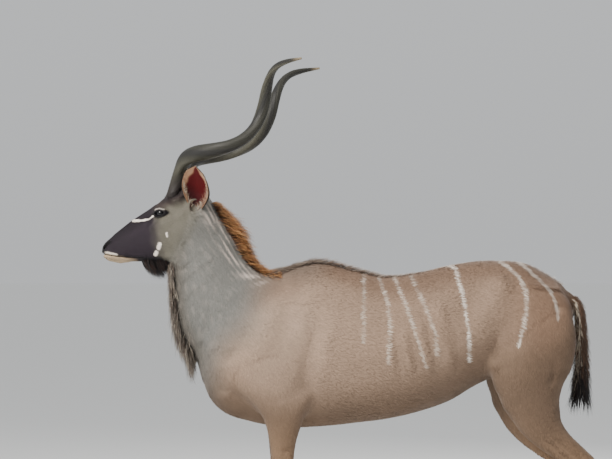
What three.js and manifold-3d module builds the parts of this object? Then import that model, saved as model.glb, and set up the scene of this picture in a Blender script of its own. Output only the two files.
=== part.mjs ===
// A greater kudu bull, life size, standing still with its head raised.
// Lengths are millimetres. The animal faces -X, its left side is -Y, and +Z is up.
import * as THREE from 'three';
import Module from 'manifold-3d';

const wasm = await Module();
wasm.setup();

// Driving dimensions
const PARTING_GAP = 0.3;
const TAIL_GAP = 0.5;
const BODY_CORNERS = 22;
const LEG_CORNERS = 10;
const HEAD_CORNERS = 24;

// Torso stations: place along X, upper edge, lower edge, half width near the top, at mid height, near the
// bottom. The neck and head have the same six values along their own axes.
const TORSO_STATIONS = [
  [-545, 1130, 925, 50, 70, 55],
  [-520, 1180, 880, 75, 105, 80],
  [-461, 1250, 826, 100, 138, 108],
  [-346, 1310, 784, 105, 165, 120],
  [-211, 1379, 766, 98, 180, 125],
  [-104, 1402, 768, 92, 192, 140],
  [19, 1375, 780, 105, 210, 165],
  [154, 1348, 797, 120, 226, 180],
  [269, 1361, 822, 125, 230, 180],
  [392, 1390, 864, 125, 222, 165],
  [499, 1407, 925, 125, 207, 145],
  [595, 1409, 968, 125, 190, 125],
  [684, 1399, 985, 118, 172, 110],
  [768, 1360, 1000, 98, 145, 95],
  [830, 1317, 1050, 72, 112, 75],
  [862, 1274, 1120, 42, 66, 48],
  [873, 1244, 1155, 20, 34, 26],
];
const TORSO_RINGS = 24;

// Neck: the axis starts inside the head and runs down and back into the chest
const NECK_TOP = [-572, 0, 1555];
const NECK_LEAN = 24.5;
const NECK_STATIONS = [
  [-70, 82, -60, 42, 62, 52],
  [-20, 92, -95, 46, 69, 58],
  [40, 100, -130, 46, 72, 61],
  [104, 110, -154, 48, 77, 65],
  [192, 117, -186, 50, 88, 74],
  [265, 142, -209, 58, 102, 84],
  [346, 205, -228, 74, 124, 96],
  [445, 262, -218, 88, 148, 108],
  [541, 290, -200, 95, 158, 112],
  [630, 290, -170, 90, 150, 100],
];
const NECK_RINGS = 14;

// Head: its own axis points from the poll to the muzzle
const HEAD_CENTRE = [-595, 6, 1582];
const HEAD_PITCH = 22;
const HEAD_YAW = 7;
const HEAD_SQUARENESS = 2.4;
const HEAD_STATIONS = [
  [-88, 58, -80, 30, 40, 32],
  [-66, 82, -108, 42, 57, 46],
  [-25, 98, -132, 48, 68, 52],
  [30, 107, -144, 54, 72, 50],
  [66, 101, -146, 60, 73, 46],
  [102, 90, -146, 60, 71, 42],
  [137, 80, -140, 47, 63, 37],
  [180, 72, -122, 36, 51, 32],
  [222, 64, -104, 29, 43, 28],
  [263, 53, -87, 26, 38, 26],
  [300, 42, -74, 26, 37, 27],
  [332, 32, -64, 27, 37, 27],
  [354, 23, -51, 23, 33, 24],
  [369, 9, -35, 14, 22, 16],
];
const HEAD_RINGS = 24;

// Legs: height, front edge, rear edge, half width, distance of the middle from the centre plane
const FORELEG_STATIONS = [
  [50, -285, -222, 30, 97],
  [78, -269, -223, 24, 97],
  [106, -261, -203, 28, 97],
  [132, -256, -206, 24, 97],
  [190, -252, -212, 19, 97],
  [300, -254, -213, 20, 98],
  [372, -262, -208, 28, 99],
  [420, -268, -202, 32, 100],
  [480, -262, -207, 27, 101],
  [600, -274, -200, 33, 104],
  [720, -292, -184, 42, 108],
  [800, -312, -158, 54, 112],
  [860, -352, -135, 64, 114],
  [930, -420, -128, 71, 113],
  [1010, -448, -118, 73, 110],
  [1120, -385, -90, 62, 100],
  [1240, -270, -60, 36, 84],
];
const FORELEG_RINGS = 24;
const HINDLEG_STATIONS = [
  [50, 846, 910, 30, 93],
  [80, 862, 910, 25, 93],
  [108, 873, 931, 28, 93],
  [136, 880, 930, 24, 93],
  [200, 886, 928, 19, 93],
  [380, 896, 940, 20, 94],
  [520, 900, 952, 23, 95],
  [575, 893, 969, 29, 96],
  [618, 862, 974, 33, 97],
  [655, 797, 950, 37, 98],
  [700, 728, 904, 44, 100],
  [750, 670, 854, 52, 102],
  [795, 634, 826, 61, 104],
  [845, 602, 818, 71, 106],
  [890, 582, 818, 79, 107],
  [940, 558, 832, 86, 107],
  [1000, 545, 862, 90, 106],
  [1100, 540, 880, 88, 100],
  [1200, 538, 862, 72, 88],
  [1300, 570, 800, 42, 66],
];
const HINDLEG_RINGS = 28;
const FAR_FORELEG_SWING = -45;
const FAR_HINDLEG_SWING = -150;
const FORELEG_TOP = 850;
const HINDLEG_TOP = 1010;
const LEG_FRONT_NARROWING = 0.86;
const LEG_REAR_NARROWING = 0.8;

// Hooves: each foot has two claws with a flat sole, and two small dew claws behind the pastern
const HOOF_HEIGHT = 50;
const CLAW_SOLE_SPREAD = 3;
const CLAW_GAP = 3;
const CLAW_TOE_REACH = 34;
const DEW_CLAW_HEIGHT = 88;
const DEW_CLAW_RADIUS = 9;
const DEW_CLAW_LENGTH = 26;

// Tail: a hanging core with hair along both edges
const TAIL_PATH = [
  [850, 0, 1268],
  [882, 0, 1250],
  [899, 0, 1205],
  [906, 0, 1120],
  [908, 0, 1010],
  [906, 0, 925],
];
const TAIL_HALF_WIDTHS = [25, 24, 20, 17, 13, 7];
const TAIL_FLATNESS = 0.62;

// Horns: an open spiral around a straight line that leans back and outward
const HORN_ROOT = [34, 42, 103];
const HORN_ROOT_SET = [-11, 0, -4];
const HORN_SET_REACH = 0.09;
const HORN_LENGTH = 770;
const HORN_SPIRAL_RADIUS = 53;
const HORN_LEAN = 20.6;
const HORN_SPREAD = 14.6;
const HORN_START_TURN = -90;
const HORN_TURNS = 1.495;
const HORN_GROW = 0.24;
const HORN_THICKNESS = [30.5, 30, 27.5, 25, 22.5, 20.5, 17, 11.5, 3];
const HORN_KEEL = 0.24;
const HORN_BACK_KEEL = 0.08;
const HORN_KEEL_TURN = 100;
const HORN_ROOT_BEND = 0.11;
const HORN_ROOT_DEPTH = 30;
const HORN_RINGS = 43;
const HORN_CORNERS = 12;

// Ears: a cupped leaf on a short stalk
const EAR_ROOT = [-24, 38, -8];
const EAR_AXES = { left: [-0.39, 0.62, 0.68], right: [-0.05, 0.88, 0.47] };
const EAR_FACINGS = { left: [0.42, 0.9, -0.25], right: [0.85, 0.3, -0.1] };
const EAR_LENGTH = 232;
const EAR_HALF_WIDTHS = [18, 24, 40, 52, 57, 55, 48, 35, 14];
const EAR_DEPTHS = [16, 20, 31, 36, 33, 27, 20, 12, 5];
const EAR_THICKNESSES = [31, 27, 9, 5, 4.5, 4.5, 4.5, 4.5, 4];
const EAR_RIM_TURNS = [90, 95, 106, 106, 100, 92, 85, 80, 80];
const EAR_ARC_STEPS = 8;

// Eyes and lids
const EYE_CENTRE = [95, 47, 45];
const EYE_RADIUS = 20;
const EYE_ACROSS = 12;
const EYE_DOWN = 8;
const LID_RADII = [31, 22, 24.5];
const LID_OPENING_HALF_LENGTH = 18.5;
const LID_OPENING_HALF_HEIGHT = 9.5;
const LID_OPENING_CORNERS = 14;
const LID_OPENING_DEPTHS = [4, 44];
const SOCKET_CLEARANCE = 0.4;

// Mouth, lips and nostrils, in the head's own directions (forward, up)
const MOUTH_LINE = [
  [240, -79],
  [268, -68],
  [300, -52],
  [330, -36],
  [352, -22],
];
const MOUTH_FRONT = [366, -12];
const LIP_ROLL = 5.5;
const LIP_OFFSET = 7;
const MOUTH_CUT = 2.4;
const NOSTRIL_CENTRE = [346, 24, 6];
const NOSTRIL_RADII = [15, 11, 7];

// Crests of hair: their stretch on the form's axis, how many pairs of locks, the size of a lock, its rise
// from the skin at the root and at the tip in degrees, the two rows' turn from the middle line, and how
// deep a lock is rooted
const MANE = {
  from: -30, to: 330, count: 10, length: 124, width: 44, thick: 9,
  rise: 52, bend: 24, rows: [-0.16, 0.16], sink: 14, coreSteps: 8, seed: 5,
};
const CREST = {
  from: -330, to: 820, count: 13, length: 66, width: 32, thick: 7,
  rise: 30, bend: 8, rows: [-0.07, 0.07], sink: 9, coreSteps: 14, seed: 31,
};
const FRINGE = {
  from: 120, to: 470, count: 8, length: 98, width: 34, thick: 8,
  rise: 36, bend: 12, rows: [-0.12, 0.12], sink: 14, coreSteps: 8, seed: 23,
};
const BEARD = {
  from: 120, to: 262, count: 4, length: 84, width: 30, thick: 8,
  rise: 42, bend: 66, rows: [-0.16, 0.16], sink: 12, coreSteps: 5, seed: 11,
};
const MANE_HEADING = [1, 0, -0.9];
const CREST_HEADING = [1, 0, 0];
const FRINGE_HEADING = [0.35, 0, -1];
const BEARD_HEADING = [1, 0, -0.6];
const CORE_SHARE = 0.4;
const CORE_SINK = 6;
const LOCK_STEPS = [0, 0.4, 0.75];

// The tail's locks hang in tiers, each with four locks turned round the core
const TAIL_LOCK = { length: 128, width: 28, thick: 8 };
const TAIL_LOCK_RISE = 22;
const TAIL_LOCK_BEND = -3;
const TAIL_LOCK_SINK = 4;
const TAIL_LOCK_TURNS = [-95, -32, 32, 95];
const TAIL_TIERS = 3;
const TAIL_FIRST_TIER = 0.42;
const TAIL_LAST_TIER = 0.92;
const TAIL_RINGS = 11;
const TAIL_CORNERS = 8;
const TAIL_SEED = 47;

// Finishes: colour and roughness
const BODY_COAT = [0x8d8078, 0.9];
const NECK_COAT = [0x85827f, 0.9];
const FACE_COAT = [0x4b4148, 0.85];
const LEG_COAT = [0x9a7a5c, 0.9];
const TAIL_COAT = [0x6b4a35, 0.9];
const EAR_COAT = [0x8a6a5c, 0.85];
const EYE_FINISH = [0x120d0c, 0.1];
const HORN_FINISH = [0x3e3c34, 0.5];
const HOOF_FINISH = [0x1c1a1a, 0.45];

const radians = THREE.MathUtils.degToRad;
const vec = (x, y, z) => new THREE.Vector3(x, y, z);

// A repeatable stream of random numbers from 0 to 1
function randomStream(seed) {
  let state = seed;
  return () => {
    state = (state * 1664525 + 1013904223) % 4294967296;
    return state / 4294967296;
  };
}

// A manifold from corner points and triangles
function manifoldOf(points, triangles) {
  const vertProperties = new Float32Array(points.length * 3);
  points.forEach((point, index) => point.toArray(vertProperties, index * 3));
  const mesh = new wasm.Mesh({ numProp: 3, vertProperties, triVerts: new Uint32Array(triangles.flat()) });
  const solid = new wasm.Manifold(mesh);
  if (solid.volume() >= 0) return solid;
  const turned = triangles.map(([a, b, c]) => [a, c, b]);
  return new wasm.Manifold(new wasm.Mesh({
    numProp: 3, vertProperties, triVerts: new Uint32Array(turned.flat()),
  }));
}

// A closed skin over rings of equally many points, with a flat fan over each end
function skinOver(rings) {
  const corners = rings[0].length;
  const points = rings.flat();
  const triangles = [];
  for (let ring = 0; ring + 1 < rings.length; ring += 1) {
    for (let corner = 0; corner < corners; corner += 1) {
      const next = (corner + 1) % corners;
      const a = ring * corners + corner;
      const b = ring * corners + next;
      triangles.push([a, b, a + corners], [b, b + corners, a + corners]);
    }
  }
  for (const [ring, flip] of [[rings[0], true], [rings[rings.length - 1], false]]) {
    const middle = points.length;
    points.push(ring.reduce((sum, point) => sum.add(point), vec(0, 0, 0)).divideScalar(corners));
    const first = flip ? 0 : (rings.length - 1) * corners;
    for (let corner = 0; corner < corners; corner += 1) {
      const next = first + (corner + 1) % corners;
      triangles.push(flip ? [middle, next, first + corner] : [middle, first + corner, next]);
    }
  }
  return manifoldOf(points, triangles);
}

// Smooth values between stations: cubic steps whose slope at a station follows its two neighbours
function stationValues(stations, place) {
  const last = stations.length - 1;
  const within = THREE.MathUtils.clamp(place, stations[0][0], stations[last][0]);
  let index = 0;
  while (index < last - 1 && within > stations[index + 1][0]) index += 1;
  const slope = (i, column) => {
    const before = stations[Math.max(i - 1, 0)];
    const after = stations[Math.min(i + 1, last)];
    return (after[column] - before[column]) / (after[0] - before[0]);
  };
  const [start, end] = [stations[index], stations[index + 1]];
  const span = end[0] - start[0];
  const t = (within - start[0]) / span;
  const [t2, t3] = [t * t, t * t * t];
  return start.map((value, column) => (2 * t3 - 3 * t2 + 1) * value
    + (t3 - 2 * t2 + t) * span * slope(index, column)
    + (3 * t2 - 2 * t3) * end[column]
    + (t3 - t2) * span * slope(index + 1, column));
}

// A body form is a straight axis with oval sections that follow its stations
class BodyForm {
  constructor({ origin, along, up, stations, rings, corners, squareness = 2 }) {
    this.origin = origin;
    this.along = along;
    this.up = up;
    this.side = new THREE.Vector3().crossVectors(up, along).normalize();
    if (this.side.y < 0) this.side.negate();
    this.stations = stations;
    this.rings = rings;
    this.corners = corners;
    this.power = 2 / squareness;
  }

  // The point at a place on the axis and an angle from the top of the section
  at(place, angle, grow = 0) {
    const [, top, bottom, widthTop, widthMiddle, widthBottom, centre = 0] = stationValues(this.stations, place);
    const height = Math.sign(Math.cos(angle)) * Math.abs(Math.cos(angle)) ** this.power;
    const reach = Math.sign(Math.sin(angle)) * Math.abs(Math.sin(angle)) ** this.power;
    const edgeWidth = height > 0 ? widthTop : widthBottom;
    const halfWidth = widthMiddle + (edgeWidth - widthMiddle) * height * height + grow;
    const middle = (top + bottom) / 2;
    return this.place(place, centre + halfWidth * reach, middle + ((top - bottom) / 2 + grow) * height);
  }

  place(along, side, up) {
    return this.origin.clone()
      .addScaledVector(this.along, along)
      .addScaledVector(this.side, side)
      .addScaledVector(this.up, up);
  }

  direction(along, side, up) {
    return vec(0, 0, 0)
      .addScaledVector(this.along, along)
      .addScaledVector(this.side, side)
      .addScaledVector(this.up, up)
      .normalize();
  }

  // The outward direction of the surface, from two short steps on it
  outward(place, angle) {
    const here = this.at(place, angle);
    const onward = this.at(place + 4, angle).sub(this.at(place - 4, angle));
    const around = this.at(place, angle + 0.05).sub(this.at(place, angle - 0.05));
    const normal = new THREE.Vector3().crossVectors(onward, around).normalize();
    const values = stationValues(this.stations, place);
    const middle = this.place(place, values[6] ?? 0, (values[1] + values[2]) / 2);
    return normal.dot(here.sub(middle)) < 0 ? normal.negate() : normal;
  }

  solid(grow = 0) {
    const first = this.stations[0][0];
    const last = this.stations[this.stations.length - 1][0];
    const rings = [];
    for (let ring = 0; ring <= this.rings; ring += 1) {
      const place = first + (last - first) * ring / this.rings;
      const stretch = ring === 0 ? -grow : ring === this.rings ? grow : 0;
      const points = [];
      for (let corner = 0; corner < this.corners; corner += 1) {
        const angle = 2 * Math.PI * corner / this.corners;
        points.push(this.at(place, angle, grow).addScaledVector(this.along, stretch));
      }
      rings.push(points);
    }
    return skinOver(rings);
  }
}

// The body forms
const torsoForm = new BodyForm({
  origin: vec(0, 0, 0), along: vec(1, 0, 0), up: vec(0, 0, 1),
  stations: TORSO_STATIONS, rings: TORSO_RINGS, corners: BODY_CORNERS, squareness: 2.2,
});
const neckLean = radians(NECK_LEAN);
const neckForm = new BodyForm({
  origin: vec(...NECK_TOP),
  along: vec(Math.sin(neckLean), 0, -Math.cos(neckLean)),
  up: vec(Math.cos(neckLean), 0, Math.sin(neckLean)),
  stations: NECK_STATIONS, rings: NECK_RINGS, corners: BODY_CORNERS,
});
const headTurn = new THREE.Matrix4().makeRotationZ(radians(-HEAD_YAW));
const headPitch = radians(HEAD_PITCH);
const headForm = new BodyForm({
  origin: vec(...HEAD_CENTRE),
  along: vec(-Math.cos(headPitch), 0, -Math.sin(headPitch)).applyMatrix4(headTurn),
  up: vec(-Math.sin(headPitch), 0, Math.cos(headPitch)).applyMatrix4(headTurn),
  stations: HEAD_STATIONS, rings: HEAD_RINGS, corners: HEAD_CORNERS, squareness: HEAD_SQUARENESS,
});

// A leg is lofted upward; below its top it can swing forward, as a standing animal sets its feet
function legForm(stations, side, swing, topHeight, rings) {
  const shifted = stations.map(([height, front, rear, halfWidth, offset]) => {
    const share = THREE.MathUtils.clamp(1 - height / topHeight, 0, 1);
    const shift = swing * share;
    return [
      height, -(front + shift), -(rear + shift),
      halfWidth * LEG_FRONT_NARROWING, halfWidth, halfWidth * LEG_REAR_NARROWING, side * offset,
    ];
  });
  return new BodyForm({
    origin: vec(0, 0, 0), along: vec(0, 0, 1), up: vec(-1, 0, 0),
    stations: shifted, rings, corners: LEG_CORNERS, squareness: 2.2,
  });
}

// A very large block on one side of a plane, as a knife for parting nodes
function beyondPlane(point, normal) {
  const size = 4000;
  const box = new THREE.BoxGeometry(size, size, size).translate(0, 0, size / 2);
  const turn = new THREE.Quaternion().setFromUnitVectors(vec(0, 0, 1), normal.clone().normalize());
  box.applyQuaternion(turn).translate(point.x, point.y, point.z);
  const position = box.attributes.position;
  const corners = [];
  const lookup = new Map();
  const remap = [];
  for (let i = 0; i < position.count; i += 1) {
    const corner = vec(position.getX(i), position.getY(i), position.getZ(i));
    const key = corner.toArray().map((value) => value.toFixed(1)).join();
    if (!lookup.has(key)) {
      lookup.set(key, corners.length);
      corners.push(corner);
    }
    remap.push(lookup.get(key));
  }
  const triangles = [];
  for (let i = 0; i < box.index.count; i += 3) {
    triangles.push([0, 1, 2].map((step) => remap[box.index.getX(i + step)]));
  }
  return manifoldOf(corners, triangles);
}

// The part of a solid on the far side of a plane, half a gap away from it
function keepBeyond(solid, point, normal) {
  const unit = normal.clone().normalize();
  return solid.intersect(beyondPlane(point.clone().addScaledVector(unit, PARTING_GAP / 2), unit));
}

// The largest closed surface of a solid
function largest(solid) {
  const pieces = solid.decompose();
  return pieces.reduce((best, piece) => (piece.volume() > best.volume() ? piece : best));
}

const joined = (solids) => solids.reduce((sum, solid) => sum.add(solid));

// A ball stretched along three directions, with rings from pole to pole
function ball(centre, directions, radii, across, down) {
  const points = [];
  const put = (x, y, z) => points.push(centre.clone()
    .addScaledVector(directions[0], x * radii[0])
    .addScaledVector(directions[1], y * radii[1])
    .addScaledVector(directions[2], z * radii[2]));
  put(0, 0, 1);
  for (let ring = 1; ring < down; ring += 1) {
    const polar = Math.PI * ring / down;
    for (let step = 0; step < across; step += 1) {
      const turn = 2 * Math.PI * step / across;
      put(Math.sin(polar) * Math.cos(turn), Math.sin(polar) * Math.sin(turn), Math.cos(polar));
    }
  }
  put(0, 0, -1);
  const triangles = [];
  const at = (ring, step) => 1 + (ring - 1) * across + step % across;
  for (let step = 0; step < across; step += 1) {
    triangles.push([0, at(1, step), at(1, step + 1)]);
    triangles.push([points.length - 1, at(down - 1, step + 1), at(down - 1, step)]);
    for (let ring = 1; ring + 1 < down; ring += 1) {
      triangles.push([at(ring, step), at(ring + 1, step), at(ring + 1, step + 1)]);
      triangles.push([at(ring, step), at(ring + 1, step + 1), at(ring, step + 1)]);
    }
  }
  return manifoldOf(points, triangles);
}

// A tube with a lozenge section along points, wide along one direction and tall along another
function lozengeTube(points, wide, tall, halfWidth, halfHeight) {
  return skinOver(points.map((point, index) => {
    const [w, h] = [wide[index], tall[index]];
    return [
      point.clone().addScaledVector(w, halfWidth),
      point.clone().addScaledVector(h, halfHeight),
      point.clone().addScaledVector(w, -halfWidth),
      point.clone().addScaledVector(h, -halfHeight),
    ];
  }));
}

// A flat, tapered lock of hair that leaves the skin along its lie and bends as it goes.
// Its broad face looks outward, or to one side where the hair stands as a crest.
function hairLock({ root, outward, lie, size, rise, bend, sink, sweep = 0, facing = 0 }) {
  const side = new THREE.Vector3().crossVectors(lie, outward).normalize();
  const point = root.clone().addScaledVector(outward, -sink);
  const rings = [];
  let reached = 0;
  for (const step of [...LOCK_STEPS, 1]) {
    const angle = radians(rise + (bend - rise) * step);
    const heading = lie.clone().multiplyScalar(Math.cos(angle))
      .addScaledVector(outward, Math.sin(angle))
      .addScaledVector(side, sweep * step)
      .normalize();
    point.addScaledVector(heading, (step - reached) * (size.length + sink));
    reached = step;
    const face = new THREE.Vector3().crossVectors(side, heading).normalize();
    const taper = step === 1 ? 0.04 : (1 - step) ** 0.5;
    const thin = step === 1 ? 0.12 : 1 - 0.5 * step;
    const [broad, deep] = facing === 0 ? [side, face] : [face, side.clone().multiplyScalar(facing)];
    rings.push([
      point.clone().addScaledVector(broad, size.width / 2 * taper),
      point.clone().addScaledVector(deep, size.thick * thin),
      point.clone().addScaledVector(broad, -size.width / 2 * taper),
    ]);
  }
  return skinOver(rings);
}

// The direction along a surface that comes closest to a wanted heading
function alongSurface(heading, outward) {
  return heading.clone().addScaledVector(outward, -heading.dot(outward)).normalize();
}

// The core of a crest of hair: a low fin along a line of a body form, less than half way to the tips
function crestCore({ form, from, to, steps, turn, spread, heading, length, rise, sink, scale }) {
  const rings = [];
  for (let step = 0; step <= steps; step += 1) {
    const share = step / steps;
    const place = from + (to - from) * share;
    const outward = form.outward(place, turn);
    const lie = alongSurface(heading, outward);
    const angle = radians(rise);
    const reach = CORE_SHARE * length * scale(share);
    const tip = form.at(place, turn)
      .addScaledVector(lie, reach * Math.cos(angle))
      .addScaledVector(outward, reach * Math.sin(angle));
    rings.push([
      form.at(place, turn - spread).addScaledVector(outward, -sink),
      form.at(place, turn).addScaledVector(outward, -sink * 1.5),
      form.at(place, turn + spread).addScaledVector(outward, -sink),
      tip,
    ]);
  }
  return skinOver(rings);
}

// A crest of hair: its core, and staggered rows of locks to the left and right of it
function hairCrest({ form, turn, heading, crest, scale }) {
  const { from, to, count, rows, rise, bend, sink, coreSteps, seed } = crest;
  const random = randomStream(seed);
  const core = crestCore({
    form, from, to, steps: coreSteps, turn, spread: Math.max(...rows) * 1.2, heading,
    length: crest.length, rise: rise * 0.8, sink: CORE_SINK, scale,
  });
  const solids = [core];
  for (let index = 0; index < count; index += 1) {
    rows.forEach((row, order) => {
      const share = (index + order / rows.length + 0.3 * random()) / count;
      const place = from + (to - from) * share;
      const outward = form.outward(place, turn);
      const lie = alongSurface(heading, outward);
      const side = new THREE.Vector3().crossVectors(lie, outward);
      const root = form.at(place, turn + row);
      const facing = Math.sign(root.clone().sub(form.at(place, turn)).dot(side)) || 1;
      solids.push(hairLock({
        root,
        outward,
        lie,
        size: {
          length: crest.length * scale(share) * (0.8 + 0.4 * random()),
          width: crest.width * (0.85 + 0.3 * random()),
          thick: crest.thick,
        },
        rise: rise + 10 * (random() - 0.5),
        bend: bend + 14 * (random() - 0.5),
        sink,
        sweep: facing * (0.1 + 0.16 * random()),
        facing,
      }));
    });
  }
  return solids;
}

// Legs
const leftFore = legForm(FORELEG_STATIONS, -1, 0, FORELEG_TOP, FORELEG_RINGS);
const rightFore = legForm(FORELEG_STATIONS, 1, FAR_FORELEG_SWING, FORELEG_TOP, FORELEG_RINGS);
const leftHind = legForm(HINDLEG_STATIONS, -1, 0, HINDLEG_TOP, HINDLEG_RINGS);
const rightHind = legForm(HINDLEG_STATIONS, 1, FAR_HINDLEG_SWING, HINDLEG_TOP, HINDLEG_RINGS);
const legs = [
  ['front_left', leftFore, FORELEG_TOP],
  ['front_right', rightFore, FORELEG_TOP],
  ['hind_left', leftHind, HINDLEG_TOP],
  ['hind_right', rightHind, HINDLEG_TOP],
];

// Planes between head, neck and torso, square to the animal's middle
const headPlane = { point: vec(-584, 0, 1505), normal: vec(0.886, 0, -0.468) };
const torsoPlane = { point: vec(-384, 0, 1187), normal: vec(0.816, 0, -0.578) };

const flesh = joined([torsoForm.solid(), neckForm.solid()]);

// Head
function headPoint(forward, side, up) {
  return headForm.place(forward, side, up);
}

// The surface of the head at a place and height, on one side
function headSurface(forward, height, side) {
  const [, top, bottom] = stationValues(HEAD_STATIONS, forward);
  const share = THREE.MathUtils.clamp((height - (top + bottom) / 2) / ((top - bottom) / 2), -0.999, 0.999);
  const cosine = Math.sign(share) * Math.abs(share) ** (HEAD_SQUARENESS / 2);
  const angle = side * Math.acos(cosine);
  return { point: headForm.at(forward, angle), outward: headForm.outward(forward, angle) };
}

// The mouth line runs along one side, round the front of the muzzle and back along the other side
function mouthPath(rise) {
  const points = [];
  const outwards = [];
  for (const [forward, up] of MOUTH_LINE) {
    const { point, outward } = headSurface(forward, up + rise, -1);
    points.push(point);
    outwards.push(outward);
  }
  for (const side of [-0.5, 0, 0.5]) {
    const [forward, up] = MOUTH_FRONT;
    points.push(headPoint(forward - 14 * Math.abs(side), side * 34, up + rise));
    outwards.push(headForm.direction(1, side, 0));
  }
  for (const [forward, up] of [...MOUTH_LINE].reverse()) {
    const { point, outward } = headSurface(forward, up + rise, 1);
    points.push(point);
    outwards.push(outward);
  }
  return { points, outwards };
}

function lipRoll(rise) {
  const { points, outwards } = mouthPath(rise);
  const ups = outwards.map((outward) => alongSurface(headForm.up, outward));
  const inset = points.map((point, index) => point.clone().addScaledVector(outwards[index], -1.5));
  return lozengeTube(inset, outwards, ups, LIP_ROLL, LIP_ROLL + 1.5);
}

function mouthGroove() {
  const { points, outwards } = mouthPath(0);
  const ups = outwards.map((outward) => alongSurface(headForm.up, outward));
  return lozengeTube(points, outwards, ups, LIP_ROLL + 4, MOUTH_CUT);
}

// Eye sockets, lids and their almond opening
function eyeParts(side) {
  const centre = headPoint(EYE_CENTRE[0], side * EYE_CENTRE[1], EYE_CENTRE[2]);
  const outward = headForm.direction(0.3, side, 0.12);
  const length = alongSurface(headForm.direction(1, 0, -0.12), outward);
  const height = new THREE.Vector3().crossVectors(outward, length).normalize();
  if (height.dot(headForm.up) < 0) height.negate();
  const axes = [length, height, outward];
  const eye = ball(centre, axes, [EYE_RADIUS, EYE_RADIUS, EYE_RADIUS], EYE_ACROSS, EYE_DOWN);
  const socketRadius = EYE_RADIUS + SOCKET_CLEARANCE;
  const socket = ball(centre, axes, [socketRadius, socketRadius, socketRadius], EYE_ACROSS, EYE_DOWN);
  const lids = ball(centre, axes, LID_RADII, EYE_ACROSS, EYE_DOWN);
  const rings = LID_OPENING_DEPTHS.map((depth) => {
    const points = [];
    for (let step = 0; step < LID_OPENING_CORNERS; step += 1) {
      const turn = 2 * Math.PI * step / LID_OPENING_CORNERS;
      const across = LID_OPENING_HALF_LENGTH * Math.cos(turn);
      const up = LID_OPENING_HALF_HEIGHT * Math.sin(turn) * (1 - 0.25 * Math.abs(Math.cos(turn)));
      points.push(centre.clone()
        .addScaledVector(length, across)
        .addScaledVector(height, up)
        .addScaledVector(outward, depth));
    }
    return points;
  });
  return { eye, socket, lids, opening: skinOver(rings) };
}
const eyes = { left: eyeParts(-1), right: eyeParts(1) };

function nostril(side) {
  const [forward, across, up] = NOSTRIL_CENTRE;
  const centre = headPoint(forward, side * across, up);
  const outward = headForm.direction(0.55, side, 0.25);
  const length = alongSurface(headForm.direction(-0.6, 0, 0.8), outward);
  const third = new THREE.Vector3().crossVectors(outward, length);
  return ball(centre, [length, outward, third], NOSTRIL_RADII, 10, 6);
}

// Horns
function hornPoint(share, side) {
  const lean = radians(HORN_LEAN);
  const spread = radians(HORN_SPREAD);
  const axis = [
    -Math.cos(lean) * Math.cos(spread), side * Math.sin(spread), Math.sin(lean) * Math.cos(spread),
  ];
  const front = [Math.sin(lean), 0, Math.cos(lean)];
  const outer = [
    Math.cos(lean) * Math.sin(spread), side * Math.cos(spread), -Math.sin(lean) * Math.sin(spread),
  ];
  const turn = radians(HORN_START_TURN + 360 * HORN_TURNS * share);
  const opened = Math.sin(Math.min(share / HORN_GROW, 1) * Math.PI / 2);
  const radius = HORN_SPIRAL_RADIUS * opened;
  const setBack = Math.max(1 - share / HORN_SET_REACH, 0) ** 2;
  const root = HORN_ROOT.map((value, i) => (i === 1 ? side : 1) * (value + setBack * HORN_ROOT_SET[i]));
  const local = [0, 1, 2].map((i) => root[i] + HORN_LENGTH * share * axis[i]
    + radius * (Math.cos(turn) * front[i] + Math.sin(turn) * outer[i]));
  return { point: headPoint(...local), turn, front, outer };
}

function hornRadius(share) {
  const last = HORN_THICKNESS.length - 1;
  const place = THREE.MathUtils.clamp(share, 0, 1) * last;
  const index = Math.min(Math.floor(place), last - 1);
  return THREE.MathUtils.lerp(HORN_THICKNESS[index], HORN_THICKNESS[index + 1], place - index);
}

// The keel is a ridge on each section that winds with the spiral. The root goes straight into the skull.
function horn(side) {
  const rings = [];
  for (let ring = 0; ring <= HORN_RINGS; ring += 1) {
    const share = Math.max((ring - 1) / (HORN_RINGS - 1), 0);
    const here = hornPoint(share, side);
    const ahead = hornPoint(share + 0.004, side).point;
    const turned = Math.min(share / HORN_ROOT_BEND, 1);
    const tangent = ahead.sub(here.point).normalize().lerp(headForm.up, 1 - turned).normalize();
    const point = here.point.clone();
    if (ring === 0) point.addScaledVector(headForm.up, -HORN_ROOT_DEPTH);
    const keelTurn = here.turn + radians(HORN_KEEL_TURN);
    const wanted = headForm.direction(
      ...[0, 1, 2].map((i) => Math.cos(keelTurn) * here.front[i] + Math.sin(keelTurn) * here.outer[i]),
    );
    const keelSide = alongSurface(wanted, tangent);
    const across = new THREE.Vector3().crossVectors(tangent, keelSide).normalize();
    const radius = hornRadius(share);
    const points = [];
    for (let corner = 0; corner < HORN_CORNERS; corner += 1) {
      const angle = 2 * Math.PI * corner / HORN_CORNERS;
      const keel = 1 + turned * (HORN_KEEL * Math.max(0, Math.cos(angle)) ** 6
        + HORN_BACK_KEEL * Math.max(0, -Math.cos(angle)) ** 4);
      points.push(point.clone()
        .addScaledVector(keelSide, radius * keel * Math.cos(angle))
        .addScaledVector(across, radius * 0.95 * Math.sin(angle) * side));
    }
    rings.push(points);
  }
  return skinOver(rings);
}

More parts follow.
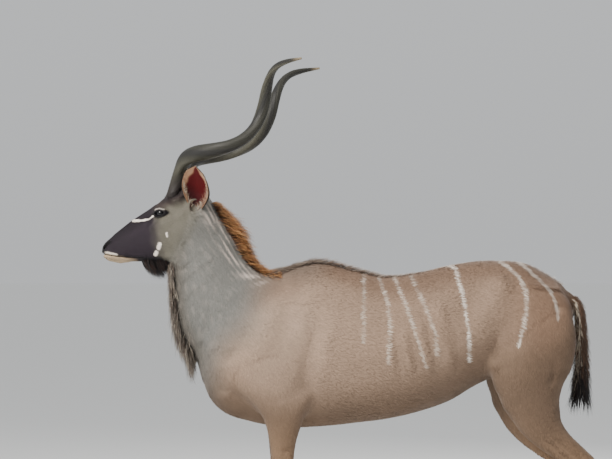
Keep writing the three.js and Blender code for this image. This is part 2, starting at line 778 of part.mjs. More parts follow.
// Ears: each section is a crescent, closed by an outer arc and an inner arc. The stalk is filled.
function ear(name, side) {
  const mirrored = ([forward, outward, up]) => headForm.direction(forward, side * outward, up);
  const axis = mirrored(EAR_AXES[name]);
  const facing = alongSurface(mirrored(EAR_FACINGS[name]), axis);
  const across = new THREE.Vector3().crossVectors(axis, facing).normalize();
  const root = headPoint(EAR_ROOT[0], side * EAR_ROOT[1], EAR_ROOT[2]);
  const last = EAR_HALF_WIDTHS.length - 1;
  const rings = EAR_HALF_WIDTHS.map((halfWidth, index) => {
    const middle = root.clone().addScaledVector(axis, EAR_LENGTH * index / last);
    const rim = radians(EAR_RIM_TURNS[index]);
    const arc = (share, width, depth) => {
      const turn = rim * share;
      const bulge = (Math.cos(turn) - Math.cos(rim)) / (1 - Math.cos(rim));
      return middle.clone()
        .addScaledVector(across, width * Math.sin(turn))
        .addScaledVector(facing, -depth * bulge);
    };
    const thickness = EAR_THICKNESSES[index];
    const innerWidth = halfWidth - Math.min(thickness, 5);
    const points = [];
    for (let step = 0; step <= EAR_ARC_STEPS; step += 1) {
      points.push(arc(2 * step / EAR_ARC_STEPS - 1, halfWidth, EAR_DEPTHS[index]));
    }
    for (let step = EAR_ARC_STEPS; step >= 0; step -= 1) {
      points.push(arc(2 * step / EAR_ARC_STEPS - 1, innerWidth, EAR_DEPTHS[index] - thickness));
    }
    return points;
  });
  return skinOver(rings);
}

// Head solids and what grows on them
const headGrown = headForm.solid(PARTING_GAP).add(neckForm.solid(PARTING_GAP));
const beard = hairCrest({
  form: headForm, turn: Math.PI, heading: vec(...BEARD_HEADING), crest: BEARD, scale: () => 1,
});
let headSolid = joined([
  headForm.solid(), neckForm.solid(), lipRoll(LIP_OFFSET), lipRoll(-LIP_OFFSET),
  eyes.left.lids, eyes.right.lids, ...beard,
]);
headSolid = headSolid.subtract(joined([
  mouthGroove(), nostril(-1), nostril(1),
  eyes.left.socket, eyes.right.socket, eyes.left.opening, eyes.right.opening,
]));
headSolid = keepBeyond(headSolid, headPlane.point, headPlane.normal.clone().negate());

// Neck with its mane and throat fringe
const mane = hairCrest({
  form: neckForm, turn: 0, heading: vec(...MANE_HEADING), crest: MANE,
  scale: (share) => 0.74 + 0.42 * Math.sin(Math.PI * Math.min(1, share * 1.1)),
});
const fringe = hairCrest({
  form: neckForm, turn: Math.PI, heading: vec(...FRINGE_HEADING), crest: FRINGE,
  scale: (share) => 0.55 + 0.5 * share,
});
let neckSolid = joined([flesh, headForm.solid(), ...mane, ...fringe]);
neckSolid = keepBeyond(neckSolid, headPlane.point, headPlane.normal);
neckSolid = keepBeyond(neckSolid, torsoPlane.point, torsoPlane.normal.clone().negate());

// Torso with the crest along the back and the tops of the legs
const crest = hairCrest({
  form: torsoForm, turn: 0, heading: vec(...CREST_HEADING), crest: CREST,
  scale: (share) => 1.25 - 0.75 * Math.min(1, share * 1.6),
});
const legTops = legs.map(([, form, top]) => keepBeyond(form.solid(), vec(0, 0, top), vec(0, 0, 1)));
let torsoSolid = joined([flesh, ...legTops, ...crest]);
torsoSolid = keepBeyond(torsoSolid, torsoPlane.point, torsoPlane.normal);

// Tail: a flat tapering core with locks in tiers
function tail() {
  const curve = new THREE.CatmullRomCurve3(TAIL_PATH.map((point) => vec(...point)));
  const rings = [];
  for (let step = 0; step <= TAIL_RINGS; step += 1) {
    const share = step / TAIL_RINGS;
    const middle = curve.getPoint(share);
    const heading = curve.getTangent(share);
    const side = vec(0, 1, 0);
    const back = new THREE.Vector3().crossVectors(heading, side).normalize();
    const place = share * (TAIL_HALF_WIDTHS.length - 1);
    const index = Math.min(Math.floor(place), TAIL_HALF_WIDTHS.length - 2);
    const half = THREE.MathUtils.lerp(TAIL_HALF_WIDTHS[index], TAIL_HALF_WIDTHS[index + 1], place - index);
    const points = [];
    for (let corner = 0; corner < TAIL_CORNERS; corner += 1) {
      const angle = 2 * Math.PI * corner / TAIL_CORNERS;
      points.push(middle.clone()
        .addScaledVector(side, half * Math.cos(angle))
        .addScaledVector(back, half * TAIL_FLATNESS * Math.sin(angle)));
    }
    rings.push(points);
  }
  const random = randomStream(TAIL_SEED);
  const locks = [];
  for (let tier = 0; tier < TAIL_TIERS; tier += 1) {
    const share = THREE.MathUtils.lerp(TAIL_FIRST_TIER, TAIL_LAST_TIER, tier / (TAIL_TIERS - 1));
    const middle = curve.getPoint(share);
    for (const turn of TAIL_LOCK_TURNS) {
      const angle = radians(turn + 12 * (random() - 0.5));
      const outward = vec(Math.cos(angle), Math.sin(angle), 0);
      locks.push(hairLock({
        root: middle.clone().addScaledVector(outward, 6),
        outward,
        lie: vec(0, 0, -1),
        size: { ...TAIL_LOCK, length: TAIL_LOCK.length * (0.8 + 0.3 * random()) },
        rise: TAIL_LOCK_RISE,
        bend: TAIL_LOCK_BEND,
        sink: TAIL_LOCK_SINK,
        sweep: 0.12 * (random() - 0.5),
      }));
    }
  }
  return joined([skinOver(rings), ...locks]);
}

// A claw of a hoof: a pointed, sloping block with a flat sole
function claw(form, side, outer) {
  const [, top, bottom, , halfWidth, , centre] = stationValues(form.stations, HOOF_HEIGHT);
  const direction = outer * side;
  const rings = [0, 0.5, 1].map((share) => {
    const height = (HOOF_HEIGHT - PARTING_GAP) * share;
    const reach = CLAW_TOE_REACH * (1 - share);
    const front = -top - reach;
    const spread = CLAW_SOLE_SPREAD * (1 - share);
    const rear = -bottom + spread;
    const inner = CLAW_GAP / 2 + spread;
    const width = halfWidth + spread;
    const outline = [
      [front, inner + 4], [front + 6, inner], [rear - 14, inner], [rear, (inner + width) / 2],
      [rear - 12, width - 2], [(front + rear) / 2, width], [front + 22, width - 6],
    ];
    return outline.map(([x, y]) => vec(x, centre + direction * y, height));
  });
  return skinOver(rings);
}

function dewClaw(form, side, outer) {
  const [, , bottom, , halfWidth, , centre] = stationValues(form.stations, DEW_CLAW_HEIGHT);
  const root = vec(-bottom - 2, centre + outer * side * halfWidth * 0.55, DEW_CLAW_HEIGHT);
  const heading = vec(0.72, 0, -0.69);
  const wide = vec(0, 1, 0);
  const tall = new THREE.Vector3().crossVectors(heading, wide);
  const points = [0, 0.6, 1].map((share) => root.clone().addScaledVector(heading, DEW_CLAW_LENGTH * share));
  const rings = points.map((point, index) => {
    const size = DEW_CLAW_RADIUS * [1, 0.85, 0.3][index];
    return [0, 1, 2, 3, 4, 5].map((corner) => {
      const angle = Math.PI * corner / 3;
      return point.clone()
        .addScaledVector(wide, size * Math.cos(angle))
        .addScaledVector(tall, size * 0.8 * Math.sin(angle));
    });
  });
  return skinOver(rings);
}

// The nodes, each with its own finish
const kudu = new THREE.Group();

function addNode(name, solid, [colour, roughness]) {
  const body = largest(solid);
  const { vertProperties, triVerts, numProp } = body.getMesh();
  const position = new Float32Array(vertProperties.length / numProp * 3);
  for (let i = 0; i < position.length / 3; i += 1) {
    position.set(vertProperties.subarray(i * numProp, i * numProp + 3), i * 3);
  }
  const geometry = new THREE.BufferGeometry();
  geometry.setAttribute('position', new THREE.BufferAttribute(position, 3));
  geometry.setIndex(new THREE.BufferAttribute(new Uint32Array(triVerts), 1));
  geometry.computeVertexNormals();
  const material = new THREE.MeshStandardMaterial({ color: colour, roughness, metalness: 0 });
  const mesh = new THREE.Mesh(geometry, material);
  mesh.name = name;
  kudu.add(mesh);
}

addNode('head', headSolid, FACE_COAT);
addNode('neck', neckSolid, NECK_COAT);
addNode('torso', torsoSolid, BODY_COAT);

const torsoGrown = torsoForm.solid(TAIL_GAP);
addNode('tail', tail().subtract(torsoGrown), TAIL_COAT);

for (const [side, name] of [[-1, 'left'], [1, 'right']]) {
  addNode(`horn_${name}`, horn(side).subtract(headGrown), HORN_FINISH);
  addNode(`ear_${name}`, ear(name, side).subtract(headGrown), EAR_COAT);
  addNode(`eye_${name}`, eyes[name].eye, EYE_FINISH);
}

for (const [name, form, top] of legs) {
  const side = name.endsWith('left') ? -1 : 1;
  const dewClaws = [1, -1].map((outer) => dewClaw(form, side, outer));
  const leg = keepBeyond(form.solid(), vec(0, 0, top), vec(0, 0, -1)).subtract(torsoGrown);
  addNode(`leg_${name}`, leg, LEG_COAT);
  const legGrown = form.solid(PARTING_GAP);
  [[1, 'outer'], [-1, 'inner']].forEach(([outer, place], index) => {
    addNode(`hoof_${name}_${place}`, claw(form, side, outer), HOOF_FINISH);
    addNode(`dewclaw_${name}_${place}`, dewClaws[index].subtract(legGrown), HOOF_FINISH);
  });
}

// The animal stands with the middle of its box over the origin
const extent = new THREE.Box3().setFromObject(kudu);
kudu.position.set(-(extent.min.x + extent.max.x) / 2, -(extent.min.y + extent.max.y) / 2, 0);

export default kudu;
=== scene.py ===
import math
import bpy
import numpy as np
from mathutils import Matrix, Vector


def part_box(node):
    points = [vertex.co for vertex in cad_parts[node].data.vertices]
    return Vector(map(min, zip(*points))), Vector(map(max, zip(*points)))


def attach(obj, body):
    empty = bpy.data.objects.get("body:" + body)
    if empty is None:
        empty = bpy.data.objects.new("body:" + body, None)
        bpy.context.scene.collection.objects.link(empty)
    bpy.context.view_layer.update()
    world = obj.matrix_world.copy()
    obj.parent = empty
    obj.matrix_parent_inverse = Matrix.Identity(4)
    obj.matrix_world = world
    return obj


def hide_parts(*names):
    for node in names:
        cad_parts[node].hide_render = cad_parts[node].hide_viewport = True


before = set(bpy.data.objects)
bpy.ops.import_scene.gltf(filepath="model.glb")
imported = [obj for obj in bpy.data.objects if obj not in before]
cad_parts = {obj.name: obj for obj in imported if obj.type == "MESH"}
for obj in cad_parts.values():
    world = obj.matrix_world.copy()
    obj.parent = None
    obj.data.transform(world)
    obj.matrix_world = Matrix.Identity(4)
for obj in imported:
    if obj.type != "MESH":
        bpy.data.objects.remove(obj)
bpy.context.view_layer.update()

# Place and view
# The bull is modelled round a point under its shoulders. Its frame is centred on its box instead, so the
# near fore hoof tells how far everything is shifted. The camera looks at its left side from 9.5 m away.
MM = 0.001
HOOF_TOE_X = -319
HOOF_OUTER_Y = -130
toe_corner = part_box("hoof_front_left_outer")[0]
SHIFT = np.array([toe_corner[0] - HOOF_TOE_X * MM, toe_corner[1] - HOOF_OUTER_Y * MM, 0.0])
CAMERA_PLACE = np.array([-0.14976, -9.5, 1.5264])
CAMERA_LENS = 145.5

camera_data = bpy.data.cameras.new("camera")
camera_data.lens = CAMERA_LENS
camera_data.sensor_width = 36
camera_data.clip_end = 200
camera = bpy.data.objects.new("camera", camera_data)
camera.location = CAMERA_PLACE + SHIFT
camera.rotation_euler = (math.radians(90), 0, 0)
bpy.context.scene.collection.objects.link(camera)
bpy.context.scene.camera = camera


# Skin
# One hide covers head, neck, body and legs. Each part is an oval loft along its own axis, the lofts run into
# each other softly, and muscles, tendons and hollows are raised or sunk in it. The skin lies under the coat.

# Stations of the torso are X, top and bottom, and of neck and head the place on the axis, top and bottom.
# Three half widths follow: above, at the middle and below. All are in mm.
TORSO_STATIONS = [
    [-545, 1130, 925, 50, 70, 55], [-520, 1180, 880, 75, 105, 80], [-461, 1250, 826, 100, 138, 108],
    [-346, 1310, 784, 105, 165, 120], [-211, 1379, 766, 98, 180, 125], [-104, 1402, 768, 92, 192, 140],
    [19, 1375, 780, 105, 210, 165], [154, 1348, 797, 120, 226, 180], [269, 1361, 822, 125, 230, 180],
    [392, 1390, 864, 125, 222, 165], [499, 1407, 925, 125, 207, 145], [595, 1409, 968, 125, 190, 125],
    [684, 1399, 985, 118, 172, 110], [768, 1360, 1000, 98, 145, 95], [830, 1317, 1050, 72, 112, 75],
    [862, 1274, 1120, 42, 66, 48], [873, 1244, 1155, 20, 34, 26],
]
NECK_TOP = [-572, 0, 1555]
NECK_LEAN = 24.5
NECK_STATIONS = [
    [-70, 82, -60, 42, 62, 52], [-20, 92, -95, 46, 69, 58], [40, 100, -130, 46, 72, 61],
    [104, 110, -154, 48, 77, 65], [192, 117, -186, 50, 88, 74], [265, 142, -209, 58, 102, 84],
    [346, 205, -228, 74, 124, 96], [445, 262, -218, 88, 148, 108], [541, 290, -200, 95, 158, 112],
    [630, 290, -170, 90, 150, 100],
]
HEAD_CENTRE = [-595, 6, 1582]
HEAD_PITCH = 22
HEAD_YAW = 7
HEAD_STATIONS = [
    [-88, 58, -80, 30, 40, 32], [-66, 82, -108, 42, 57, 46], [-25, 98, -132, 48, 68, 52],
    [30, 107, -144, 54, 72, 50], [66, 101, -146, 60, 73, 46], [102, 90, -146, 60, 71, 42],
    [137, 80, -140, 47, 63, 37], [180, 72, -122, 36, 51, 32], [222, 64, -104, 29, 43, 28],
    [263, 53, -87, 26, 38, 26], [300, 42, -74, 26, 37, 27], [332, 32, -64, 27, 37, 27],
    [354, 23, -51, 23, 33, 24], [371, 10, -36, 15, 23, 17],
]
# Stations up a leg: height, front and rear in X, half width, and how far its middle stands to the side
FORELEG_STATIONS = [
    [50, -285, -222, 30, 97], [78, -269, -223, 24, 97], [106, -261, -203, 28, 97],
    [132, -256, -206, 24, 97], [190, -252, -212, 19, 97], [300, -254, -213, 20, 98],
    [372, -262, -208, 28, 99], [420, -268, -202, 32, 100],
    [480, -262, -207, 27, 101], [600, -274, -200, 33, 104], [720, -292, -184, 42, 108],
    [800, -312, -158, 54, 112], [860, -352, -135, 64, 114], [930, -420, -128, 71, 113],
    [1010, -448, -118, 73, 110], [1120, -385, -90, 62, 100], [1240, -270, -60, 36, 84],
]
HINDLEG_STATIONS = [
    [50, 846, 910, 30, 93], [80, 862, 910, 25, 93], [108, 873, 931, 28, 93], [136, 880, 930, 24, 93],
    [200, 886, 928, 19, 93], [380, 896, 940, 20, 94], [520, 900, 952, 23, 95], [575, 893, 969, 29, 96],
    [618, 862, 974, 33, 97], [655, 797, 950, 37, 98], [700, 728, 904, 44, 100], [750, 670, 854, 52, 102],
    [795, 634, 826, 61, 104], [845, 602, 818, 71, 106], [890, 582, 818, 79, 107], [940, 558, 832, 86, 107],
    [1000, 545, 862, 90, 106], [1100, 540, 880, 88, 100], [1200, 538, 862, 72, 88], [1300, 570, 800, 42, 66],
]
LEG_SWINGS = {"front_left": 0, "front_right": -45, "hind_left": 0, "hind_right": -150}
LEG_TOPS = {"front": 850, "hind": 1010}
LEG_NARROWING = (0.86, 0.8)
TAIL_DOCK = [[850, 0, 1268], [882, 0, 1250], [899, 0, 1205], [905, 0, 1140]]


def unit(vectors):
    """Vectors over the last axis scaled to length one."""
    return vectors / np.maximum(np.linalg.norm(vectors, axis=-1, keepdims=True), 1e-12)


def smooth_values(stations, places):
    """Cubic steps between stations, whose slope at a station is that between its two neighbours."""
    table = np.asarray(stations, float)
    x = table[:, 0]
    low = np.maximum(np.arange(len(x)) - 1, 0)
    high = np.minimum(np.arange(len(x)) + 1, len(x) - 1)
    slopes = (table[high] - table[low]) / (x[high] - x[low])[:, None]
    inside = np.clip(places, x[0], x[-1])
    index = np.clip(np.searchsorted(x, inside, side="left") - 1, 0, len(x) - 2)
    span = (x[index + 1] - x[index])[..., None]
    t = (inside - x[index])[..., None] / span
    return ((2 * t**3 - 3 * t**2 + 1) * table[index] + (t**3 - 2 * t**2 + t) * span * slopes[index]
            + (3 * t**2 - 2 * t**3) * table[index + 1] + (t**3 - t**2) * span * slopes[index + 1])


class Loft:
    """A straight axis with oval sections: |height|^n + |width|^n = 1, n being the squareness."""

    def __init__(self, name, origin, along, up, stations, squareness, end_round=0.012):
        self.name = name
        self.origin = np.asarray(origin, float)
        self.along = unit(np.asarray(along, float))
        self.up = unit(np.asarray(up, float))
        side = np.cross(self.up, self.along)
        self.side = side * (1 if side[1] > 0 else -1)
        self.squareness = squareness
        self.end_round = end_round
        self.first, self.last = stations[0][0] * MM, stations[-1][0] * MM
        self.steps = np.arange(stations[0][0], stations[-1][0] + 1.0, 1.0)
        self.table = smooth_values(stations, self.steps)[:, 1:] * MM

    def local(self, points):
        """Distances along the axis, to the side and upward."""
        offset = points - self.origin
        return offset @ self.along, offset @ self.side, offset @ self.up

    def world(self, along, side, up):
        """The point at distances along the axis, to the side and upward, in metres."""
        parts = [np.asarray(value, float)[..., None] * axis
                 for value, axis in ((along, self.along), (side, self.side), (up, self.up))]
        return self.origin + parts[0] + parts[1] + parts[2]

    def section(self, along):
        """Top, bottom, three half widths and the middle line's offset at places on the axis."""
        place = np.clip((along - self.first) / MM, 0, len(self.steps) - 1.001)
        index = place.astype(int)
        share = (place - index)[..., None]
        values = self.table[index] * (1 - share) + self.table[index + 1] * share
        middle = values[..., 5] if values.shape[-1] > 5 else 0 * along
        return (*np.moveaxis(values[..., :5], -1, 0), middle)

    def distance(self, points):
        """How far points lie outside the loft, measured from the middle of the section they are in."""
        along, side, up = self.local(points)
        top, bottom, wide_top, wide, wide_bottom, offset = self.section(along)
        height = (up - (top + bottom) / 2) / ((top - bottom) / 2)
        edge = np.where(height > 0, wide_top, wide_bottom)
        half = wide + (edge - wide) * np.clip(height, -1, 1) ** 2
        across = (side - offset) / half
        power = self.squareness
        norm = (np.abs(height) ** power + np.abs(across) ** power) ** (1 / power)
        ray = np.hypot(side - offset, up - (top + bottom) / 2)
        round_wall = ray - ray / np.maximum(norm, 1e-6)
        end = np.maximum(along - self.last, self.first - along)
        return smooth_max(round_wall, end, self.end_round)

    def turn(self, points):
        """The angle round the section, nought at the top, and the place along the axis from 0 to 1."""
        along, side, up = self.local(points)
        top, bottom, _, _, _, offset = self.section(along)
        angle = np.arctan2(side - offset, up - (top + bottom) / 2)
        return angle, np.clip((along - self.first) / (self.last - self.first), 0, 1)


def ramp(value, low, high):
    """Nothing below low, one above high, and a smooth rise between them."""
    t = np.clip((value - low) / (high - low), 0, 1)
    return t * t * (3 - 2 * t)


def smooth_min(a, b, k):
    """The smaller of two distances, rounded where they come within k of each other."""
    near = np.maximum(k - np.abs(a - b), 0) / k
    return np.minimum(a, b) - near**2 * k / 4


def smooth_max(a, b, k):
    """The larger of two distances, rounded where they come within k of each other."""
    return -smooth_min(-a, -b, k)


def leg_stations(stations, side, swing, top):
    """Stations up a leg. Below its top the leg swings forward in proportion to the depth."""
    rows = []
    for height, front, rear, half, offset in stations:
        shift = swing * min(max(1 - height / top, 0), 1)
        rows.append([height, -(front + shift), -(rear + shift), half * LEG_NARROWING[0], half,
                     half * LEG_NARROWING[1], side * offset])
    return rows


lean = math.radians(NECK_LEAN)
pitch = math.radians(HEAD_PITCH)
yaw = math.radians(-HEAD_YAW)
yaw_turn = np.array([[math.cos(yaw), -math.sin(yaw), 0], [math.sin(yaw), math.cos(yaw), 0], [0, 0, 1]])
torso = Loft("torso", SHIFT, (1, 0, 0), (0, 0, 1), TORSO_STATIONS, squareness=2.2, end_round=0.05)
neck = Loft("neck", np.array(NECK_TOP) * MM + SHIFT, (math.sin(lean), 0, -math.cos(lean)),
            (math.cos(lean), 0, math.sin(lean)), NECK_STATIONS, squareness=2.0, end_round=0.05)
head = Loft("head", np.array(HEAD_CENTRE) * MM + SHIFT, yaw_turn @ (-math.cos(pitch), 0, -math.sin(pitch)),
            yaw_turn @ (-math.sin(pitch), 0, math.cos(pitch)), HEAD_STATIONS, squareness=2.4)
legs = {}
for leg_name, leg_swing in LEG_SWINGS.items():
    end_name, side_name = leg_name.split("_")
    leg_table = FORELEG_STATIONS if end_name == "front" else HINDLEG_STATIONS
    leg_side = -1 if side_name == "left" else 1
    leg_table = leg_stations(leg_table, leg_side, leg_swing, LEG_TOPS[end_name])
    legs[leg_name] = Loft(leg_name, SHIFT, (0, 0, 1), (-1, 0, 0), leg_table, squareness=2.2, end_round=0.004)

# Muscles, bones and hollows of the body, on both sides: start, end, radius and rise in mm
BODY_RELIEF = [
    ("shoulder blade", (-225, 150, 1330), (-330, 165, 1060), 50, 12),
    ("hollow behind the shoulder", (-90, 190, 1290), (-150, 190, 930), 36, -13),
    ("upper arm", (-330, 165, 1010), (-215, 175, 960), 66, 13),
    ("point of the shoulder", (-440, 120, 1010), (-425, 125, 960), 40, 8),
    ("elbow", (-160, 155, 880), (-175, 150, 850), 28, 9),
    ("hollow of the flank", (500, 175, 1290), (452, 190, 1200), 56, -15),
    ("last rib", (330, 200, 1320), (390, 205, 1010), 24, 5),
    ("rib", (130, 225, 1230), (180, 225, 960), 13, 2.5),
    ("rib", (190, 225, 1240), (245, 225, 970), 13, 3),
    ("rib", (252, 222, 1260), (312, 222, 985), 13, 3.5),
    ("furrow above the thigh", (540, 150, 1180), (600, 165, 1010), 26, -7),
    ("hip bone", (585, 145, 1345), (600, 150, 1320), 30, 11),
    ("rump", (720, 120, 1290), (690, 160, 1180), 75, 5),
    ("thigh", (690, 170, 1110), (660, 170, 990), 80, 12),
    ("groove of the thigh", (800, 120, 1230), (775, 165, 960), 17, -10),
    ("seat bone", (838, 70, 1235), (842, 72, 1220), 28, 6),
    ("stifle", (612, 150, 900), (600, 145, 860), 40, 9),
    ("fold of the flank", (560, 160, 1010), (455, 150, 905), 22, 11),
    ("belly edge", (400, 120, 880), (100, 110, 800), 30, 3),
    ("hollow over the elbow", (-215, 160, 905), (-260, 160, 890), 20, -4),
    ("brisket", (-500, 30, 985), (-430, 40, 850), 50, 7),
    ("breast hollow", (-540, 75, 1090), (-470, 95, 930), 22, -6),
]
NECK_RELIEF = [
    ("groove of the throat vein", (60, 62, -78), (430, 110, -120), 17, -6),
    ("windpipe", (40, 20, -120), (400, 30, -215), 24, 5),
    ("nape muscle", (60, 50, 66), (420, 90, 160), 30, 4),
    ("upper fold", (96, 66, -20), (120, 50, -120), 9, 1.2),
    ("middle fold", (140, 72, -10), (172, 54, -140), 10, 1.2),
    ("lower fold", (196, 80, -20), (236, 60, -160), 11, 1.2),
    ("shoulder hollow", (470, 130, 40), (520, 130, -80), 26, -6),
]
HEAD_RELIEF = [
    ("brow", (66, 52, 66), (120, 46, 62), 12, 5),
    ("socket edge below", (66, 62, 22), (124, 52, 22), 9, 3),
    ("cheek bone", (150, 50, 2), (20, 68, 6), 12, 4),
    ("cheek muscle", (42, 60, -62), (36, 56, -96), 34, 5),
    ("hollow before the cheek muscle", (104, 56, -44), (84, 40, -128), 12, -4),
    ("tear hollow", (126, 52, 30), (156, 42, 16), 10, -4),
    ("side of the nose", (178, 34, 34), (296, 28, 8), 17, -4),
    ("nose bridge", (120, 8, 86), (300, 6, 46), 15, 2),
    ("nostril wing", (334, 27, 18), (346, 22, 4), 11, 4),
    ("upper lip", (338, 26, -28), (288, 32, -44), 13, 4),
    ("chin", (320, 10, -72), (298, 12, -78), 15, 5),
    ("jaw edge", (8, 48, -128), (200, 30, -112), 12, 4),
    ("corner of the mouth", (240, 34, -79), (228, 36, -84), 8, -3),
    ("forehead hollow", (96, 0, 98), (60, 0, 108), 22, -3),
]
# On the legs: lowest and highest place, share of the way to the front edge, radius and rise
LEG_RELIEF = {
    "front": [("cannon tendon", 180, 340, 0.62, 8, -4), ("knee bone", 385, 425, -0.5, 20, 3),
              ("forearm groove", 520, 690, 0.35, 13, -4)],
    "hind": [("cannon tendon", 170, 540, 0.5, 8, -4), ("hock groove", 610, 720, 0.25, 14, -8),
             ("hock bone", 560, 600, -0.3, 18, 3)],
}


def near_line(places, start, end, radius):
    """Falls off from 1 on a straight line to nothing about two radii away, as a bell curve."""
    start, end = np.asarray(start, float) * MM, np.asarray(end, float) * MM
    step = end - start
    share = np.clip(((places - start) @ step) / max(step @ step, 1e-9), 0, 1)
    gap = places - start - share[..., None] * step
    return np.exp(-(gap**2).sum(-1) / (radius * MM) ** 2)


def relief(points):
    """The sum of all muscles and hollows at points, in metres outward."""
    body = points - SHIFT
    body = np.stack([body[..., 0], np.abs(body[..., 1]), body[..., 2]], -1)
    rise = np.zeros(points.shape[:-1])
    for _, start, end, radius, height in BODY_RELIEF:
        rise += height * MM * near_line(body, start, end, radius)
    for loft, table in ((neck, NECK_RELIEF), (head, HEAD_RELIEF)):
        along, side, up = loft.local(points)
        places = np.stack([along, np.abs(side), up], -1)
        for _, start, end, radius, height in table:
            rise += height * MM * near_line(places, start, end, radius)
    for name, loft in legs.items():
        along, side, up = loft.local(points)
        top, bottom, _, wide, _, offset = loft.section(along)
        half = (top - bottom) / 2
        for _, low, high, share, radius, height in LEG_RELIEF[name.split("_")[0]]:
            lie = (up - (top + bottom) / 2) + share * half
            out = np.maximum(wide - np.abs(side - offset), 0)
            beyond = np.maximum(np.maximum(low * MM - along, along - high * MM), 0)
            rise += height * MM * np.exp(-(lie**2 + out**2 + beyond**2) / (radius * MM) ** 2)
    return rise


# The eye ball sits deep in its socket, the ear grows from a rounded base with a hollow in front of it, the
# horns stand on low seats, and the mouth is a thin line. Places are in mm: forward, to the side and up.
EYE_CENTRE = (95, 47, 45)
EYE_RADIUS = 20
SOCKET_RADII = (27, 17, 26)
SOCKET_FORWARD = 12
EAR_ROOT = (-24, 38, -8)
EAR_AXES = {-1: (-0.39, 0.62, 0.68), 1: (-0.05, 0.88, 0.47)}
EAR_FACINGS = {-1: (0.42, 0.9, -0.25), 1: (0.85, 0.3, -0.1)}
EAR_BASE = (6, -17)
EAR_BASE_RADIUS = 21
EAR_HOLLOW_PLACE = (62, 5)
EAR_HOLLOW_RADII = (42, 24, 29)
EAR_BARE_FROM = 26
HORN_SEAT = (20, 37, 76)
HORN_SEAT_RADIUS = 38
MOUTH_LINE = [(228, -83), (250, -77), (268, -68), (300, -52), (330, -36), (352, -22), (372, -12)]
NOSTRIL_LINE = [(352, 20, 2), (343, 26, 16), (330, 27, 19)]
NOSTRIL_RADIUS = 6.2
DETAIL_REACH = 0.03


def head_ball(points, centre, axes, radii):
    """Distance to a stretched ball in the head, measured along the ray from its centre."""
    offset = points - centre
    parts = [offset @ axis / (radius * MM) for axis, radius in zip(axes, radii)]
    norm = np.sqrt(parts[0] ** 2 + parts[1] ** 2 + parts[2] ** 2)
    ray = np.linalg.norm(offset, axis=-1)
    return ray - ray / np.maximum(norm, 1e-6)


def head_place(place, side):
    """The world point of a place in the head, given in mm and turned to one side."""
    forward, across, up = place
    return head.world(*(np.array([forward, side * across, up]) * MM))


def head_direction(forward, side, up):
    """A unit vector from its parts along the head's own directions."""
    return unit(forward * head.along + side * head.side + up * head.up)


def eye_axes(side):
    """The eye's own directions: along the opening, up the lid and outward."""
    outward = head_direction(0.3, side, 0.12)
    length = head_direction(1, 0, 0.26)
    length = unit(length - (length @ outward) * outward)
    return length, np.cross(outward, length) * -side, outward


def ear_frame(side):
    """The ear's root and its own directions: along, out of the cup, and across."""
    axis, facing = (head_direction(forward, side * out, up)
                    for forward, out, up in (EAR_AXES[side], EAR_FACINGS[side]))
    facing = unit(facing - (facing @ axis) * axis)
    return head_place(EAR_ROOT, side), axis, facing, np.cross(axis, facing)


def ear_hollow(points, side):
    """Distance to the stretched ball that hollows the lower end of the ear's cup."""
    root, axis, facing, across = ear_frame(side)
    centre = root + (axis * EAR_HOLLOW_PLACE[0] + facing * EAR_HOLLOW_PLACE[1]) * MM
    return head_ball(points, centre, (axis, across, facing), EAR_HOLLOW_RADII)


def line_distance(places, corners):
    """The shortest distance from places to a line through corners, and how far along it that is."""
    best = np.full(places.shape[:-1], 9.0)
    share_there = np.zeros(places.shape[:-1])
    corners = np.asarray(corners, float) * MM
    for index, (start, end) in enumerate(zip(corners[:-1], corners[1:])):
        step = end - start
        share = np.clip(((places - start) @ step) / (step @ step), 0, 1)
        gap = np.linalg.norm(places - start - share[..., None] * step, axis=-1)
        share_there = np.where(gap < best, (index + share) / (len(corners) - 1), share_there)
        best = np.minimum(best, gap)
    return best, share_there


def head_details(points, distance):
    """The distance with ear bases, horn seats, sockets, mouth and nostrils added to it or taken from it. The
    mouth is a groove round its line, and the lips swell on both sides of it."""
    for side in (-1, 1):
        root, axis, facing, _ = ear_frame(side)
        middle = root + (axis * EAR_BASE[0] + facing * EAR_BASE[1]) * MM
        base = np.linalg.norm(points - middle, axis=-1) - EAR_BASE_RADIUS * MM
        distance = smooth_min(distance, base, 0.02)
        distance = smooth_max(distance, -ear_hollow(points, side), 0.004)
        seat = np.linalg.norm(points - head_place(HORN_SEAT, side), axis=-1) - HORN_SEAT_RADIUS * MM
        distance = smooth_min(distance, seat, 0.02)
        axes = eye_axes(side)
        middle = head_place(EYE_CENTRE, side) + axes[2] * (SOCKET_FORWARD * MM)
        distance = smooth_max(distance, -head_ball(points, middle, axes, SOCKET_RADII), 0.005)
    along, across, up = head.local(points)
    mouth, share = line_distance(np.stack([along, up], -1), MOUTH_LINE)
    groove = 0.0045 * np.clip(share * 6, 0.25, 1) * np.exp(-(mouth / 0.0030) ** 2)
    lips = 0.0022 * np.exp(-((np.abs(mouth) - 0.008) / 0.006) ** 2) * (along > 0.2)
    distance = distance + groove * (along > 0.2) - lips
    nostril, _ = line_distance(np.stack([along, np.abs(across), up], -1), NOSTRIL_LINE)
    return smooth_max(distance, NOSTRIL_RADIUS * MM - nostril, 0.003)


